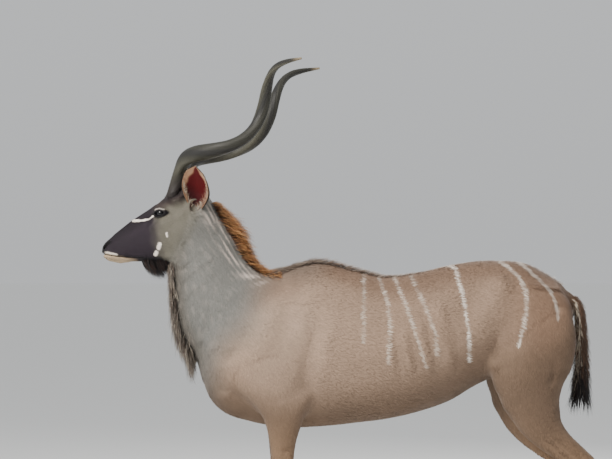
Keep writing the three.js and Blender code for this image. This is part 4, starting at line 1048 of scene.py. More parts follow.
# Ears
# Each ear is a thin cupped leaf on a short stalk, furred grey outside with a dark rim, and bare and red
# inside between pale edges. The left one is turned to the side, the right one points away.
EAR_LENGTH = 232
EAR_HALF_WIDTHS = (18, 24, 40, 52, 57, 55, 48, 35, 14)
EAR_DEPTHS = (16, 20, 31, 36, 33, 27, 20, 12, 5)
EAR_THICKNESSES = (11, 8, 6, 4.5, 4, 4, 4, 4, 4)
EAR_RIM_TURNS = (90, 95, 106, 106, 100, 92, 85, 80, 80)
EAR_TIP_START = 0.86
EAR_BACK = linear(112, 104, 96)
EAR_EDGE = linear(30, 25, 24)
# Painted shade: the darker red of the cup's deep lower end.
EAR_SHADED_RED = linear(40, 3, 6)
EAR_RED = linear(82, 6, 11)
EAR_PALE = linear(170, 132, 104)


def ear_surface(side, share, around, skin_side):
    """Points on the ear at shares of its length and of the arc from edge to edge, inside or outside the cup:
    an arc of the ear's width and depth there, which closes to a round tip."""
    root, axis, facing, across = ear_frame(side)
    columns = np.stack([EAR_HALF_WIDTHS, EAR_DEPTHS, EAR_THICKNESSES, EAR_RIM_TURNS], -1)
    table = np.concatenate([np.linspace(0, 1, len(columns))[:, None], columns], 1)
    _, width, depth, thick, rim = np.moveaxis(smooth_values(table, share), -1, 0)
    tip = np.sqrt(np.clip(1 - ((share - EAR_TIP_START) / (1 - EAR_TIP_START)) ** 2, 0, 1))
    width = np.where(share > EAR_TIP_START, width * np.maximum(tip, 0.02), width)
    inner = skin_side == "inside"
    thick = np.maximum(thick - 1.5, 2.2)
    width = width - (np.minimum(thick, 3) if inner else 0)
    depth = depth - (thick if inner else 0)
    rim = np.radians(rim)
    turn = rim * around
    bulge = (np.cos(turn) - np.cos(rim)) / (1 - np.cos(rim))
    ridge = 1.3 * np.cos(around * 15) * np.sin(math.pi * np.clip(share, 0, 1)) * inner
    along = EAR_LENGTH * MM * share
    return (root + along[..., None] * axis + (width * MM * np.sin(turn))[..., None] * across
            + (-(depth * bulge - ridge) * MM)[..., None] * facing)


def ear_back_shade(edge, colour):
    """The colour of the ear's back, which darkens to its edge."""
    return blended(colour, EAR_EDGE, ramp(edge, 0.72, 0.95)[..., None])


ear_finish = fur_finish("ear_hide", 600.0, 0.0008, 0.6, 0.0)
for side, word in SIDES:
    share = np.linspace(0, 0.998, 64)[:, None]
    sweep = np.linspace(-1, 1, 33)[None, :]
    outer = ear_surface(side, share + 0 * sweep, sweep + 0 * share, "outside")
    inner = ear_surface(side, share + 0 * sweep, sweep[:, ::-1] + 0 * share, "inside")
    rings = np.concatenate([outer, inner], 1)
    ear = capped_piece(f"ear_hide_{word}", rings, flip=side > 0)
    across = np.concatenate([sweep, sweep[:, ::-1]], 1) + 0 * share
    length = share + 0 * across
    within = np.concatenate([0 * sweep, 0 * sweep + 1], 1) + 0 * share
    edge = np.abs(across)
    # Painted shade: the red darkens towards the lower end of the cup and to one side, deep in the cup.
    red = blended(EAR_SHADED_RED, EAR_RED, ramp(length + 0.15 * across, 0.1, 0.55)[..., None])
    cup_edge = ramp(edge + 0.05 * np.sin(length * 25) + 1.1 * np.maximum(length - 0.42, 0), 0.66, 0.86)
    cup = blended(red, EAR_PALE, cup_edge[..., None])
    shade = np.where(within[..., None] > 0.5, cup, ear_back_shade(edge, EAR_BACK)).reshape(-1, 3)
    paint(ear, "Tint", np.concatenate([shade, shade[:1], shade[-1:]]))
    ear_finish.cover(ear)
    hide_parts(f"ear_{word}")
    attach(ear, "root")


# Hooves and dew claws
# Each foot stands on two black claws of horn with flat soles, and two small claws sit behind the pastern.
# They are worn smooth, with faint growth lines round them.
HOOF_HEIGHT = 50
HOOF_LEVELS = (0, 0, 0.6, 2.5, 6, 12, 18, 24, 30, 36, 42, 47, 50, 54, 57)
HOOF_NARROWS_FROM = 36
HOOF_POINTS = 56
CLAW_GAP = 3
CLAW_TOE_REACH = 34
CLAW_SPREAD = 3
DEW_CLAW_HEIGHT = 88
DEW_CLAW_RADIUS = 9
DEW_CLAW_LENGTH = 21
DEW_CLAW_RINGS = 14
DEW_CLAW_POINTS = 20


def round_outline(corners, count):
    """A closed smooth curve through corners, as a periodic cubic through neighbours."""
    corners = np.asarray(corners, float)
    place = np.linspace(0, len(corners), count, endpoint=False)
    index = place.astype(int)
    t = (place - index)[:, None]
    p0, p1, p2, p3 = (corners[(index + n) % len(corners)] for n in (-1, 0, 1, 2))
    return 0.5 * (2 * p1 + (p2 - p0) * t + (2 * p0 - 5 * p1 + 4 * p2 - p3) * t**2
                  + (3 * p1 - p0 - 3 * p2 + p3) * t**3)


def section_at(loft, height):
    """Front, rear, half width and middle of a leg at a height in mm."""
    front, rear, _, wide, _, middle = (float(value) / MM for value in loft.section(np.array(height * MM)))
    return front, rear, wide, middle


def claw_rings(loft, side, outer):
    """A claw's wall: a smooth outline that shrinks upward from a flat sole and tucks in under the hair."""
    front, rear, wide, middle = section_at(loft, HOOF_HEIGHT)
    rows = []
    for height in HOOF_LEVELS:
        share = min(height / HOOF_HEIGHT, 1)
        spread = CLAW_SPREAD * (1 - share)
        toe, heel = -front - CLAW_TOE_REACH * (1 - share) ** 1.15, -rear + spread
        inner, width = CLAW_GAP / 2 + spread, wide + spread
        outline = [(toe, inner + 4), (toe + 6, inner), (heel - 14, inner), (heel, (inner + width) / 2),
                   (heel - 12, width - 2), ((toe + heel) / 2, width), (toe + 22, width - 6)]
        ring = round_outline(outline, HOOF_POINTS)
        centre = ring.mean(0)
        tuck = 1.6 if height == 0 else 0.5 if height < 1 else 0
        tuck += (1.6 * max(height - HOOF_HEIGHT, 0) / 4 + 2.6 * max(height - HOOF_NARROWS_FROM, 0) / 14
                 + 0.3 * math.sin(height * 1.1))
        ring = ring - unit(ring - centre) * tuck
        ring = centre + (ring - centre) * (0.02 if not rows else 1)
        level = np.full((HOOF_POINTS, 1), height)
        rows.append(np.concatenate([ring[:, :1], middle + outer * side * ring[:, 1:], level], 1))
    return np.array(rows) * MM + SHIFT


def dew_claw_rings(loft, side, outer):
    """A small blunt horn claw: oval rings on a line that slopes back and down."""
    _, rear, wide, middle = section_at(loft, DEW_CLAW_HEIGHT)
    root = np.array([-rear - 2, middle + outer * side * wide * 0.55, DEW_CLAW_HEIGHT])
    heading, across, tall = np.array([0.72, 0, -0.69]), np.array([0, 1, 0]), np.array([0.69, 0, 0.72])
    share = np.linspace(-0.25, 1, DEW_CLAW_RINGS)
    size = DEW_CLAW_RADIUS * np.sqrt(np.maximum(1 - np.clip(share, 0, 1) ** 4, 0.01))
    angle = np.linspace(0, 2 * math.pi, DEW_CLAW_POINTS, endpoint=False)
    ring = across * np.cos(angle)[:, None] + 0.8 * tall * np.sin(angle)[:, None]
    return (root + share[:, None, None] * heading * DEW_CLAW_LENGTH + size[:, None, None] * ring) * MM + SHIFT


hoof_finish = Finish("hoof_horn", Specular_IOR_Level=0.4)
hoof_place = hoof_finish.node("TexCoord", output=3)
hoof_levels = hoof_finish.node("Mapping", inputs={"Vector": hoof_place, "Scale": (0.15, 0.15, 1)})
hoof_lines = hoof_finish.noise(hoof_levels, 330.0, 2.0)
hoof_dust = hoof_finish.noise(hoof_place, 60.0, 4.0)
hoof_colour = hoof_finish.tinted((*linear(22, 20, 20), 1), (*linear(62, 52, 44), 1), hoof_dust * hoof_lines)
hoof_finish.connect("Base Color", hoof_colour)
hoof_finish.connect("Roughness", 0.34 + 0.3 * hoof_dust)
hoof_finish.connect("Normal", hoof_finish.bump(hoof_lines, 0.5, 0.0008))
for name, loft in legs.items():
    side = -1 if name.endswith("left") else 1
    for outer, word in ((1, "outer"), (-1, "inner")):
        for kind, shape in (("hoof", claw_rings), ("dewclaw", dew_claw_rings)):
            turned = (kind == "hoof") == (outer * side > 0)
            claw = capped_piece(f"{kind}_horn_{name}_{word}", shape(loft, side, outer), flip=turned)
            hoof_finish.cover(claw)
            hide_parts(f"{kind}_{name}_{word}")
            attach(claw, "root")


# Short coat
# Short flat hair covers the whole hide. It grows in small overlapping tufts, each a thin leaf rooted in the
# skin, that lie from the nose to the poll, down the neck, back along the body and down the legs.
BODY_PARTS = [torso, neck, head, *legs.values()]
# Where each loft lies on the unwrap: left edge, lower edge, width and height
ATLAS = {
    "torso": (0.02, 0.02, 0.50, 0.56), "neck": (0.54, 0.02, 0.44, 0.30), "head": (0.54, 0.36, 0.44, 0.24),
    "front_left": (0.02, 0.64, 0.22, 0.30), "front_right": (0.27, 0.64, 0.22, 0.30),
    "hind_left": (0.52, 0.64, 0.22, 0.30), "hind_right": (0.76, 0.64, 0.22, 0.30),
}
TUFT_PATCH = 0.0015
# Tufts: how many, then in mm their length, width, height at the middle and height at the tip
TUFTS = [
    ("coat_body_fore", "body_coat", 26500, 27, 5.2, 0.9, 2.0),
    ("coat_body_mid", "body_coat", 26500, 27, 5.2, 0.9, 2.0),
    ("coat_body_rear", "body_coat", 26500, 27, 5.2, 0.9, 2.0),
    ("coat_neck", "neck_coat", 22500, 26, 5.2, 0.7, 1.6),
    ("coat_head_left", "face_coat", 25000, 10, 2.2, 0.35, 0.8),
    ("coat_head_right", "face_coat", 18000, 11, 2.5, 0.4, 0.9),
    ("coat_fore_legs", "leg_coat", 15000, 19, 4.6, 0.35, 0.8),
    ("coat_hind_legs", "leg_coat", 17500, 20, 4.8, 0.35, 0.8),
]
BACK_SPLITS = (-170, 330)
BARE_BELOW = 44 * MM
BARE_ROUND_EYE = 24 * MM
BARE_NOSE = (352 * MM, -22 * MM)


def point_normals(points, faces):
    """Outward directions at points, as the sum of the area vectors of the quads round each, and the areas."""
    a, b, c, d = (points[faces[:, n]] for n in range(4))
    area = np.cross(c - a, d - b) / 2
    total = [np.bincount(faces.ravel(), np.repeat(area[:, n], 4), len(points)) for n in range(3)]
    return unit(np.stack(total, -1)), np.linalg.norm(area, axis=-1)


def part_distances(points):
    """The distances of points to each loft, one column a loft."""
    return np.stack([loft.distance(points) for loft in BODY_PARTS], -1)


def lie_of(points, normals, rng):
    """The way the hair lies in the skin: each loft's own way, weighted by nearness, then turned a little."""
    place = (points - SHIFT) / MM
    weights = np.exp(-np.clip(part_distances(points), -0.02, 0.3) / 0.014)
    x = place[:, 0]
    tail_end, breast = ramp(x, 620, 850), 1 - ramp(x, -540, -380)
    ways = [np.stack([1 - 0.75 * tail_end - 0.9 * breast, 0 * x, -0.3 - 0.9 * tail_end - 0.8 * breast], -1),
            np.tile(neck.along + (0.05, 0, -0.3), (len(x), 1)),
            np.tile(-head.along - 0.28 * head.up, (len(x), 1))]
    ways += [np.tile((0.10, 0, -1.0), (len(x), 1))] * len(legs)
    way = sum(weights[:, n, None] * unit(ways[n]) for n in range(len(ways)))
    way = unit(way - (way * normals).sum(-1, keepdims=True) * normals)
    angle = 0.16 * rng.normal(size=len(x)) + 0.22 * wobble(place, 120, 8)
    left = np.cross(normals, way)
    return way * np.cos(angle)[:, None] + left * np.sin(angle)[:, None]


def scatter(chance, count, rng):
    """Roots spread evenly over the skin by area and chance: skin faces in turn, and a random spot on each."""
    reach = np.cumsum(skin_areas * chance)
    marks = (np.arange(count) + rng.uniform(0, 1, count)) * reach[-1] / count
    corners = skin_faces[np.minimum(np.searchsorted(reach, marks), len(reach) - 1)]
    s, t = rng.uniform(0, 1, (2, count, 1))
    shares = ((1 - s) * (1 - t), s * (1 - t), s * t, (1 - s) * t)
    roots = sum(share * skin_points[corners[:, n]] for n, share in enumerate(shares))
    return roots, unit(sum(share * skin_normals[corners[:, n]] for n, share in enumerate(shares)))


def unwrapped(points):
    """Places on an unwrap of the skin: each loft has its own field, with the angle across, the length up."""
    nearest = part_distances(points).argmin(-1)
    flat = np.zeros((len(points), 2))
    for number, loft in enumerate(BODY_PARTS):
        angle, share = loft.turn(points)
        left, low, width, height = ATLAS[loft.name]
        here = np.stack([left + width * (angle / (2 * math.pi) + 0.5), low + height * share], -1)
        flat = np.where((nearest == number)[:, None], here, flat)
    return flat


def hair_piece(name, points, faces, normals, tints, roots, patch, finish):
    """One coat piece: many small closed shapes of as many points each, with their shading, tint and patch."""
    each = points.shape[1]
    offsets = (np.arange(len(points)) * each)[:, None, None]
    piece = mesh_piece(name, points.reshape(-1, 3), (faces[None] + offsets).reshape(-1, 3))
    piece.data.normals_split_custom_set_from_vertices(unit(normals).reshape(-1, 3))
    paint(piece, "Tint", np.clip(tints, 0, 1).reshape(-1, 3))
    places = unwrapped(roots)[:, None] + patch[None] * TUFT_PATCH
    layer = piece.data.uv_layers.new(name="OFBake")
    corners = np.zeros(len(piece.data.loops), np.int32)
    piece.data.loops.foreach_get("vertex_index", corners)
    layer.data.foreach_set("uv", places.reshape(-1, 2)[corners].astype(np.float32).ravel())
    finish.cover(piece)
    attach(piece, "root")
    return piece


# A leaf's points are root, left, right, crest and tip
LEAF_FACES = np.array([[0, 1, 2], [4, 2, 1], [0, 2, 3], [0, 3, 1], [4, 3, 2], [4, 1, 3]])
LEAF_PATCH = np.array([[0, -1], [-1, 0], [1, 0], [0, 0.2], [0, 1.0]])
LEAF_SHADES = (0.93, 0.98, 0.98, 1.0, 1.06)


def leaf_tufts(name, roots, normals, ways, sizes, rng, tints=None):
    """Leaves over an array of roots: from below the skin, widest at two fifths, to a tip that stands off.
    They take the coat's colour where they lie, or the tints given."""
    count = len(roots)
    length, width, rise, tip = (value * MM * rng.uniform(0.75, 1.25, count) for value in sizes)
    across = np.cross(normals, ways)
    length, width, rise, tip = (value[:, None] for value in (length, width, rise, tip))
    middle = roots + ways * 0.4 * length + normals * rise
    curl = across * rng.normal(0, 0.08, count)[:, None] * length
    points = np.stack([roots - normals * 0.0014, middle + across * width / 2, middle - across * width / 2,
                       middle + normals * width * 0.16, roots + ways * length + normals * tip + curl], 1)
    sides = np.stack([normals - 0.5 * ways, normals + 0.45 * across, normals - 0.45 * across, normals,
                      normals + 0.25 * ways], 1)
    shade = rng.normal(1, 0.06, count)[:, None, None] * np.array(LEAF_SHADES)[None, :, None]
    tints = coat_colour(roots + ways * 0.5 * length) if tints is None else tints
    colours = tints[:, None] * shade
    return hair_piece(name, points, LEAF_FACES, sides, colours, roots, LEAF_PATCH, skin_finish)


skin_normals, skin_areas = point_normals(skin_points, skin_faces)
face_middles = skin_points[skin_faces].mean(1)
face_parts = part_distances(face_middles).argmin(-1)
middle_x = (face_middles - SHIFT)[:, 0] / MM
head_along, head_across, head_height = head.local(face_middles)
hairy = face_middles[:, 2] > BARE_BELOW
hairy &= ~((head_along > BARE_NOSE[0]) & (head_height > BARE_NOSE[1]) & (face_parts == 2))
for side, _ in SIDES:
    hairy &= np.linalg.norm(face_middles - head_place(EYE_CENTRE, side), axis=-1) > BARE_ROUND_EYE
    root, axis, _, _ = ear_frame(side)
    above_root = (face_middles - root) @ axis
    hairy &= (ear_hollow(face_middles, side) > 0.003) | (above_root < EAR_BARE_FROM * MM)
# Numbers of the parts: 0 torso, 1 neck, 2 head, 3 and 4 fore legs, 5 and 6 hind legs
on_body = (face_parts == 0) & hairy
PLACES = {
    "coat_body_fore": on_body & (middle_x < BACK_SPLITS[0]),
    "coat_body_mid": on_body & (middle_x >= BACK_SPLITS[0]) & (middle_x < BACK_SPLITS[1]),
    "coat_body_rear": on_body & (middle_x >= BACK_SPLITS[1]),
    "coat_neck": (face_parts == 1) & hairy,
    "coat_head_left": (face_parts == 2) & hairy & (head_across <= 0),
    "coat_head_right": (face_parts == 2) & hairy & (head_across > 0),
    "coat_fore_legs": (face_parts >= 3) & (face_parts <= 4) & hairy,
    "coat_hind_legs": (face_parts >= 5) & hairy,
}
for seed, (name, slot, count, length, width, rise, tip) in enumerate(TUFTS, start=100):
    rng = np.random.default_rng(seed)
    roots, normals = scatter(PLACES[name], count, rng)
    ways = lie_of(roots, normals, rng)
    near_muzzle = ramp(head.local(roots)[0] / MM, 150, 330)
    near_ground = 1 - ramp(roots[:, 2], 0.1, 0.5)
    shorter = 1 - 0.45 * near_muzzle if "head" in name else 1 - 0.35 * near_ground
    sizes = (length * shorter, width * (0.5 + 0.5 * shorter), rise, tip * shorter)
    leaf_tufts(name, roots, normals, ways, sizes, rng)


# Mane
# A mane of coarse hair, dark at the root and rust and sand at the tip, stands along the nape and leans back.
# It is made of thin bent locks with their roots in the skin, and leans together in clumps.
LOCK_RINGS = 4
LOCK_STEPS = np.linspace(0, 1, LOCK_RINGS + 1)
LOCK_ROOT_DEPTH = 0.004


def lock_faces():
    """The triangles of one lock: a shut root, three bands of three sides and a tip."""
    faces = [[0, 1, 2]]
    for ring in range(LOCK_RINGS - 1):
        for corner in range(3):
            a, b = ring * 3 + corner, ring * 3 + (corner + 1) % 3
            faces += [[a, a + 3, b + 3], [a, b + 3, b]]
    last = (LOCK_RINGS - 1) * 3
    return np.array(faces + [[last + n, last + 3, last + (n + 1) % 3] for n in range(3)])


LOCK_FACES = lock_faces()
LOCK_PATCH = np.array([[side, 2 * step - 1] for step in LOCK_STEPS[:-1] for side in (-1, 1, 0)] + [[0, 1]])
hair_finish = fur_finish("long_hair", 500.0, 0.0006, 0.48, 0.06)


def settle(points):
    """Points moved onto the skin along its slope, and the outward directions there."""
    for _ in range(4):
        gap = np.clip(skin_distance(points, SKIN_DEPTH), -0.02, 0.02)
        points = points - outward_of(points, SKIN_DEPTH) * gap[:, None]
    return points, outward_of(points, SKIN_DEPTH)


def locks(name, roots, outward, heading, length, width, rise, tints, rng, sway=0.12):
    """Bent locks. Each leaves the skin outward with the strength rise and turns toward its heading, which
    gets stronger along it. It is three-sided, flat and tapers from its middle to the tip."""
    count = len(roots)
    steps = LOCK_STEPS[None, :, None]
    aside = unit(rng.normal(size=(count, 3))) * sway
    ways = unit(outward[:, None] * np.asarray(rise)[..., None, None] * (1 - steps)
                + heading[:, None] * (0.3 + steps) + aside[:, None] * steps * 2)
    path = np.cumsum(ways, 1) - ways / 2 - ways[:, :1] / 2
    path = roots[:, None] - outward[:, None] * LOCK_ROOT_DEPTH + path * length[:, None, None] / LOCK_RINGS
    across = unit(np.cross(outward[:, None], ways) + 0.25 * aside[:, None])
    over = np.cross(ways, across)
    half = width[:, None, None] / 2 * (1 - steps**2.4) * (0.75 + 0.7 * steps)
    rings = np.stack([path + across * half, path - across * half, path + over * half * 0.55], 2)[:, :-1]
    points = np.concatenate([rings.reshape(count, -1, 3), path[:, -1:]], 1)
    facing = unit(over[:, :-1] + 0.6 * outward[:, None])[:, :, None]
    sides = np.stack([across, -across, over], 2)[:, :-1] * 0.55 + facing
    sides = np.concatenate([sides.reshape(count, -1, 3), ways[:, -1:]], 1)
    root_tint, tip_tint = tints
    fade = np.concatenate([np.repeat(LOCK_STEPS[:-1], 3), [1.0]])[None, :, None]
    shade = rng.normal(1, 0.10, count)[:, None, None] * (0.75 + 0.3 * fade)
    colours = (root_tint[:, None] * (1 - fade) + tip_tint[:, None] * fade) * shade
    return hair_piece(name, points, LOCK_FACES, sides, colours, roots, LOCK_PATCH, hair_finish)


def along_edge(part, place, spread, edge):
    """Roots along a loft's upper edge (0) or lower edge (1), put on the skin, and the directions there."""
    sink = -LOCK_ROOT_DEPTH if edge == 0 else LOCK_ROOT_DEPTH
    return settle(part.world(place, spread, part.section(place)[edge] + sink))


def mixed_tints(colours, shares, count, rng):
    """One of a few colours for each lock, picked by their shares."""
    return np.array(colours)[rng.choice(len(colours), count, p=np.array(shares) / sum(shares))]


HAIR = {"dark": linear(62, 46, 40), "plum": linear(58, 42, 42), "rust": linear(160, 102, 56),
        "sand": linear(214, 158, 100), "pale": linear(206, 192, 172), "brown": linear(92, 70, 56),
        "grey": linear(126, 116, 106), "black": linear(24, 20, 21)}

rng = np.random.default_rng(21)
count = 4700
MANE_HEIGHTS = [(-45, 40), (-10, 62), (40, 84), (90, 92), (150, 76), (230, 58), (300, 44), (350, 36)]
place = rng.uniform(-42, 345, count)
tall = np.interp(place, *zip(*MANE_HEIGHTS)) * MM
spread = rng.normal(0, 0.014, count) * rng.uniform(0.6, 1.4, count)
roots, outward = along_edge(neck, place * MM, spread, 0)
length = tall * (rng.uniform(0.45, 1.0, count) ** 0.6 + 0.25 * (rng.uniform(0, 1, count) > 0.93))
clumps = np.stack([wobble(roots / MM, 34, seed) for seed in (61, 62, 63)], -1)
heading = unit(np.array([1.0, 0, -0.8]) + 0.22 * clumps + rng.normal(0, 0.2, (count, 3)))
root_tints = mixed_tints([HAIR["dark"], HAIR["plum"], HAIR["brown"]], [4, 4, 2], count, rng)
tip_tints = mixed_tints([HAIR["rust"], HAIR["sand"], HAIR["dark"]], [5, 5, 1], count, rng)
width = rng.uniform(1.1, 2.4, count) * MM
rise = rng.uniform(1.0, 2.3, count)
locks("mane", roots, outward, heading, length, width, rise, (root_tints, tip_tints), rng)


# Crest of the back
# The mane runs on into a crest of hair along the spine, which gets lower towards the rump. Its locks have
# their roots in the skin, lie back, and mix brown, pale and dark hair with the colour of the coat.
rng = np.random.default_rng(22)
count = 3500
share = rng.uniform(0, 1, count) ** 1.2
place = (-305 + 1130 * share) * MM
roots, outward = along_edge(torso, place, rng.normal(0, 0.012, count), 0)
length = (1.25 - 0.8 * np.minimum(1, 1.6 * share)) * 0.050 * rng.uniform(0.5, 1.15, count)
heading = unit(np.array([1.0, 0, -0.12]) + rng.normal(0, 0.10, (count, 3)))
along_back = coat_colour(roots)
mixed = mixed_tints([HAIR["brown"], HAIR["pale"], HAIR["dark"]], [4, 2, 2], count, rng)
tints = (along_back * 0.8, along_back * 0.55 + 0.45 * mixed)
width = rng.uniform(1.6, 2.8, count) * MM
rise = 0.85 - 0.55 * share
locks("back_crest", roots, outward, heading, length, width, rise, tints, rng)


# Throat fringe
# A fringe of long hair hangs from the underside of the neck, longer towards the chest. It has the coat's own
# colour at the root and dark, brown, grey and pale tips. Its locks have their roots in the skin.
rng = np.random.default_rng(23)
count = 3000
share = rng.uniform(0, 1, count)
place = (95 + 390 * share) * MM
roots, outward = along_edge(neck, place, rng.normal(0, 0.020, count), 1)
length = (0.55 + 0.5 * share) * 0.104 * rng.uniform(0.5, 1.12, count)
heading = unit(np.array([0.35, 0, -1.0]) + rng.normal(0, 0.12, (count, 3)))
root_tints = coat_colour(roots) * 0.75
tip_tints = mixed_tints([HAIR["dark"], HAIR["brown"], HAIR["grey"], HAIR["pale"]], [4, 3, 4, 2], count, rng)
width = rng.uniform(1.4, 2.6, count) * MM
tints = (root_tints, tip_tints)
locks("throat_fringe", roots, outward, heading, length, width, 0.8, tints, rng)


# Beard
# A short black beard hangs from the jaw, longest near its middle. Its locks have their roots in the skin and
# point back and down.
rng = np.random.default_rng(24)
count = 1300
share = rng.uniform(0, 1, count)
place = (128 + 112 * share) * MM
roots, outward = along_edge(head, place, rng.normal(0, 0.012, count), 1)
length = (0.4 + 0.7 * np.sin(math.pi * np.clip(1.15 - share, 0, 1))) * 0.074 * rng.uniform(0.5, 1.12, count)
heading = unit(np.array([0.8, 0, -0.8]) + rng.normal(0, 0.12, (count, 3)))
dark_tints = mixed_tints([HAIR["black"], HAIR["dark"]], [5, 1], count, rng)
width = rng.uniform(1.8, 2.8, count) * MM
locks("beard", roots, outward, heading, length, width, 1.1, (dark_tints, dark_tints), rng)


# Tail
# The tail hangs straight down, brown above and white below, flattened, with hair along both edges that gets
# longer and darker towards the tuft at its end.
TAIL_PATH = [[850, 0, 1268], [882, 0, 1250], [899, 0, 1205], [906, 0, 1120], [908, 0, 1010], [906, 0, 925]]
TAIL_HALF_WIDTHS = (25, 24, 20, 17, 13, 7)
TAIL_FLATNESS = 0.62
TAIL_SKIN_DEPTH = 0.003
TAIL_RINGS = 60
TAIL_CORNERS = 28


def tail_line(share):
    """The middle of the tail and its half width at shares of its length."""
    table = np.column_stack([np.linspace(0, 1, len(TAIL_PATH)), TAIL_PATH, TAIL_HALF_WIDTHS])
    values = smooth_values(table, share)
    return values[..., 1:4] * MM + SHIFT, values[..., 4] * MM


share = np.linspace(0, 1, TAIL_RINGS)
middle, half = tail_line(share)
tangent = unit(np.gradient(middle, axis=0))
across = np.tile([0.0, 1.0, 0.0], (TAIL_RINGS, 1))
behind = np.cross(across, tangent)
turn = np.linspace(0, 2 * math.pi, TAIL_CORNERS, endpoint=False)[None, :, None]
half = (half - TAIL_SKIN_DEPTH)[:, None, None]
ring = np.cos(turn) * across[:, None] + TAIL_FLATNESS * np.sin(turn) * behind[:, None]
rings = middle[:, None] + half * ring
tail = capped_piece("tail_skin", rings)
rear_side = rings[..., :1] > middle[:, None, :1]
tail_tints = np.where(rear_side, HAIR["brown"], HAIR["pale"]).reshape(-1, 3)
paint(tail, "Tint", np.concatenate([tail_tints, tail_tints[:1], tail_tints[-1:]]))
skin_finish.cover(tail)
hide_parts("tail")
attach(tail, "root")

rng = np.random.default_rng(25)
count = 3100
share = rng.uniform(0.04, 1, count) ** 0.8
middle, half = tail_line(share)
ahead = tail_line(np.minimum(share + 0.02, 1.0))[0]
tangent = unit(ahead - middle + np.array([0, 0, -1e-5]))
turn = rng.uniform(0, 2 * math.pi, count)[:, None]
behind = np.cross(np.array([0.0, 1.0, 0.0]), tangent)
outward = unit(np.cos(turn) * np.array([0.0, 1.0, 0.0]) + np.sin(turn) * behind / TAIL_FLATNESS)
half = (half - TAIL_SKIN_DEPTH)[:, None]
roots = middle + half * (np.cos(turn) * np.array([0.0, 1.0, 0.0]) + TAIL_FLATNESS * np.sin(turn) * behind)
length = (0.028 + 0.10 * share**1.6) * rng.uniform(0.65, 1.1, count)
heading = unit(tangent + outward * 0.10)
underside = (outward[:, 0] < 0)[:, None]
tuft = ramp(share + 0.08 * rng.normal(size=count), 0.62, 0.86)[:, None]
under_tints = mixed_tints([HAIR["pale"], HAIR["grey"], HAIR["brown"]], [3, 2, 2], count, rng)
tints = np.where(underside, under_tints, HAIR["brown"]) * (1 - tuft) + HAIR["black"] * tuft
width = rng.uniform(1.8, 3.0, count) * MM
locks("tail_hair", roots, outward, heading, length, width, 0.35, (tints, tints), rng)


# Hair of the ears and eyes
# Pale hairs line the edges of each ear's cup and lie across its opening, short hair covers its back, a dark
# tuft grows between the horns, and short lashes stand out over the eyes.
EAR_BACK_HAIR = linear(108, 98, 88)
EAR_TUFT_SIZES = (10, 2.4, 0.4, 1.3)
LASH_TURNS = (0.25, 2.7)

for side, word in SIDES:
    rng = np.random.default_rng(31 + side)
    root, axis, facing, across = ear_frame(side)
    count = 520
    share = rng.uniform(0.06, 0.84, count)
    edge = rng.choice([-1, 1], count, p=[0.4, 0.6]) * rng.uniform(0.5, 0.99, count) ** 0.5
    roots = ear_surface(side, share, edge, "inside")
    inward = -np.sign(edge)[:, None] * across
    heading = unit(0.9 * axis + rng.uniform(0.1, 0.5, (count, 1)) * inward + 0.12 * facing)
    tints = mixed_tints([HAIR["pale"], linear(196, 164, 134), HAIR["grey"]], [2, 3, 1], count, rng)
    length = rng.uniform(0.012, 0.042, count) * (1 - 0.4 * share)
    width = rng.uniform(0.5, 0.9, count) * MM
    outward = np.tile(facing, (count, 1))
    locks(f"ear_hair_{word}", roots, outward, heading, length, width, 0.15, (tints, tints), rng,
          sway=0.25)
    count = 3400
    share, turn_share = rng.uniform(0.03, 0.97, count), rng.uniform(-0.99, 0.99, count)
    roots = ear_surface(side, share, turn_share, "outside")
    beside = ear_surface(side, share, turn_share + 0.01, "outside") - roots
    beyond = ear_surface(side, share + 0.01, turn_share, "outside") - roots
    normals = unit(np.cross(beyond, beside))
    normals = normals * np.sign((normals * (roots - root - axis * 0.116 - facing * 0.05)).sum(-1))[:, None]
    ways = unit(unit(beyond) + 0.12 * rng.normal(size=(count, 3)))
    ways = unit(ways - (ways * normals).sum(-1, keepdims=True) * normals)
    shade = ear_back_shade(np.abs(turn_share), EAR_BACK_HAIR)
    leaf_tufts(f"ear_back_{word}", roots, normals, ways, EAR_TUFT_SIZES, rng, shade)


rng = np.random.default_rng(40)
count = 560
place = np.stack([rng.uniform(8, 72, count), rng.normal(0, 22, count)], -1) * MM
roots, outward = settle(head.world(place[:, 0], place[:, 1], head.section(place[:, 0])[0]))
heading = unit(rng.normal(0, 0.2, (count, 3)) + np.array([0.9, 0, 0.25]))
tints = mixed_tints([HAIR["plum"], HAIR["black"], HAIR["dark"]], [3, 2, 3], count, rng)
length = rng.uniform(0.014, 0.034, count)
width = rng.uniform(1.2, 2.0, count) * MM
locks("forelock", roots, outward, heading, length, width, 0.8, (tints, tints), rng)

for side, word in SIDES:
    rng = np.random.default_rng(41 + side)
    count = 150
    centre = head_place(EYE_CENTRE, side)
    length_way, height_way, outward_way = eye_axes(side)
    turn = rng.uniform(*LASH_TURNS, count)
    flat = np.stack([OPENING[0] * np.cos(turn), OPENING[1] * np.sin(turn) + 1.2], -1) * MM
    rise = np.sqrt((EYE_RADIUS * MM) ** 2 - (flat**2).sum(-1)) + 0.002
    roots = centre + flat[:, :1] * length_way + flat[:, 1:] * height_way + rise[:, None] * outward_way
    heading = unit(0.9 * outward_way + 0.35 * height_way + (0.5 * np.cos(turn))[:, None] * length_way)
    tints = np.tile(HAIR["black"], (count, 1))
    length = rng.uniform(0.009, 0.016, count)
    width = rng.uniform(0.5, 0.8, count) * MM
    outward = np.tile(outward_way, (count, 1))
    locks(f"lashes_{word}", roots, outward, heading, length, width, 0.4, (tints, tints), rng,
          sway=0.08)


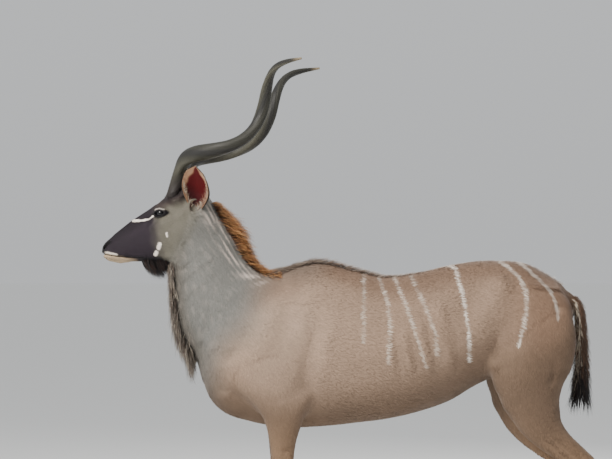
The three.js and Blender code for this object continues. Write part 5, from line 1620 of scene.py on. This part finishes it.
# Light and floor
# A pale floor and soft studio light: a broad lamp high on the camera's side, a weaker one from the front and
# one from behind that draws the edge of the back.
SKY_LOW = 0.61
SKY_HIGH = 0.85
floor_points = [[-60, -60, 0], [60, -60, 0], [60, 60, 0], [-60, 60, 0]]
floor = mesh_piece("floor", floor_points, [[0, 1, 2, 3]], smooth=False)
floor_finish = Finish("floor", Roughness=0.9, Specular_IOR_Level=0.2)
floor_finish.connect("Base Color", (0.70, 0.70, 0.69, 1))
floor_finish.cover(floor)


def lamp(name, place, target, size, power, colour):
    """A square area lamp at a place, turned towards a target."""
    data = bpy.data.lights.new(name, "AREA")
    data.size = size
    data.energy = power
    data.color = colour
    light = bpy.data.objects.new(name, data)
    way = np.asarray(target, float) - np.asarray(place, float)
    tilt = math.acos(-way[2] / np.linalg.norm(way))
    turn = math.atan2(way[1], way[0]) - math.pi / 2
    light.location = place
    light.rotation_euler = (tilt, 0, turn)
    bpy.context.scene.collection.objects.link(light)


lamp("key", (-3.2, -4.6, 5.6), (0, 0, 1.1), 2.0, 720, (1, 0.96, 0.90))
lamp("fill", (-5, -2, 1.6), (0, 0, 1.2), 3.0, 40, (0.92, 0.96, 1))
lamp("rim", (2.5, 5.0, 4.5), (0, 0, 1.2), 2.5, 300, (1, 0.98, 0.95))

world = bpy.data.worlds.new("studio")
world.use_nodes = True
dome = world.node_tree.nodes
sky_way = dome.new("ShaderNodeTexCoord")
sky_height = dome.new("ShaderNodeSeparateXYZ")
sky_range = dome.new("ShaderNodeMapRange")
sky_range.inputs["From Max"].default_value = 0.5
sky_range.inputs["To Min"].default_value = SKY_LOW
sky_range.inputs["To Max"].default_value = SKY_HIGH
dome["Background"].inputs["Color"].default_value = (0.96, 0.98, 1.0, 1)
world.node_tree.links.new(sky_way.outputs["Generated"], sky_height.inputs[0])
world.node_tree.links.new(sky_height.outputs["Z"], sky_range.inputs["Value"])
world.node_tree.links.new(sky_range.outputs[0], dome["Background"].inputs["Strength"])
bpy.context.scene.world = world
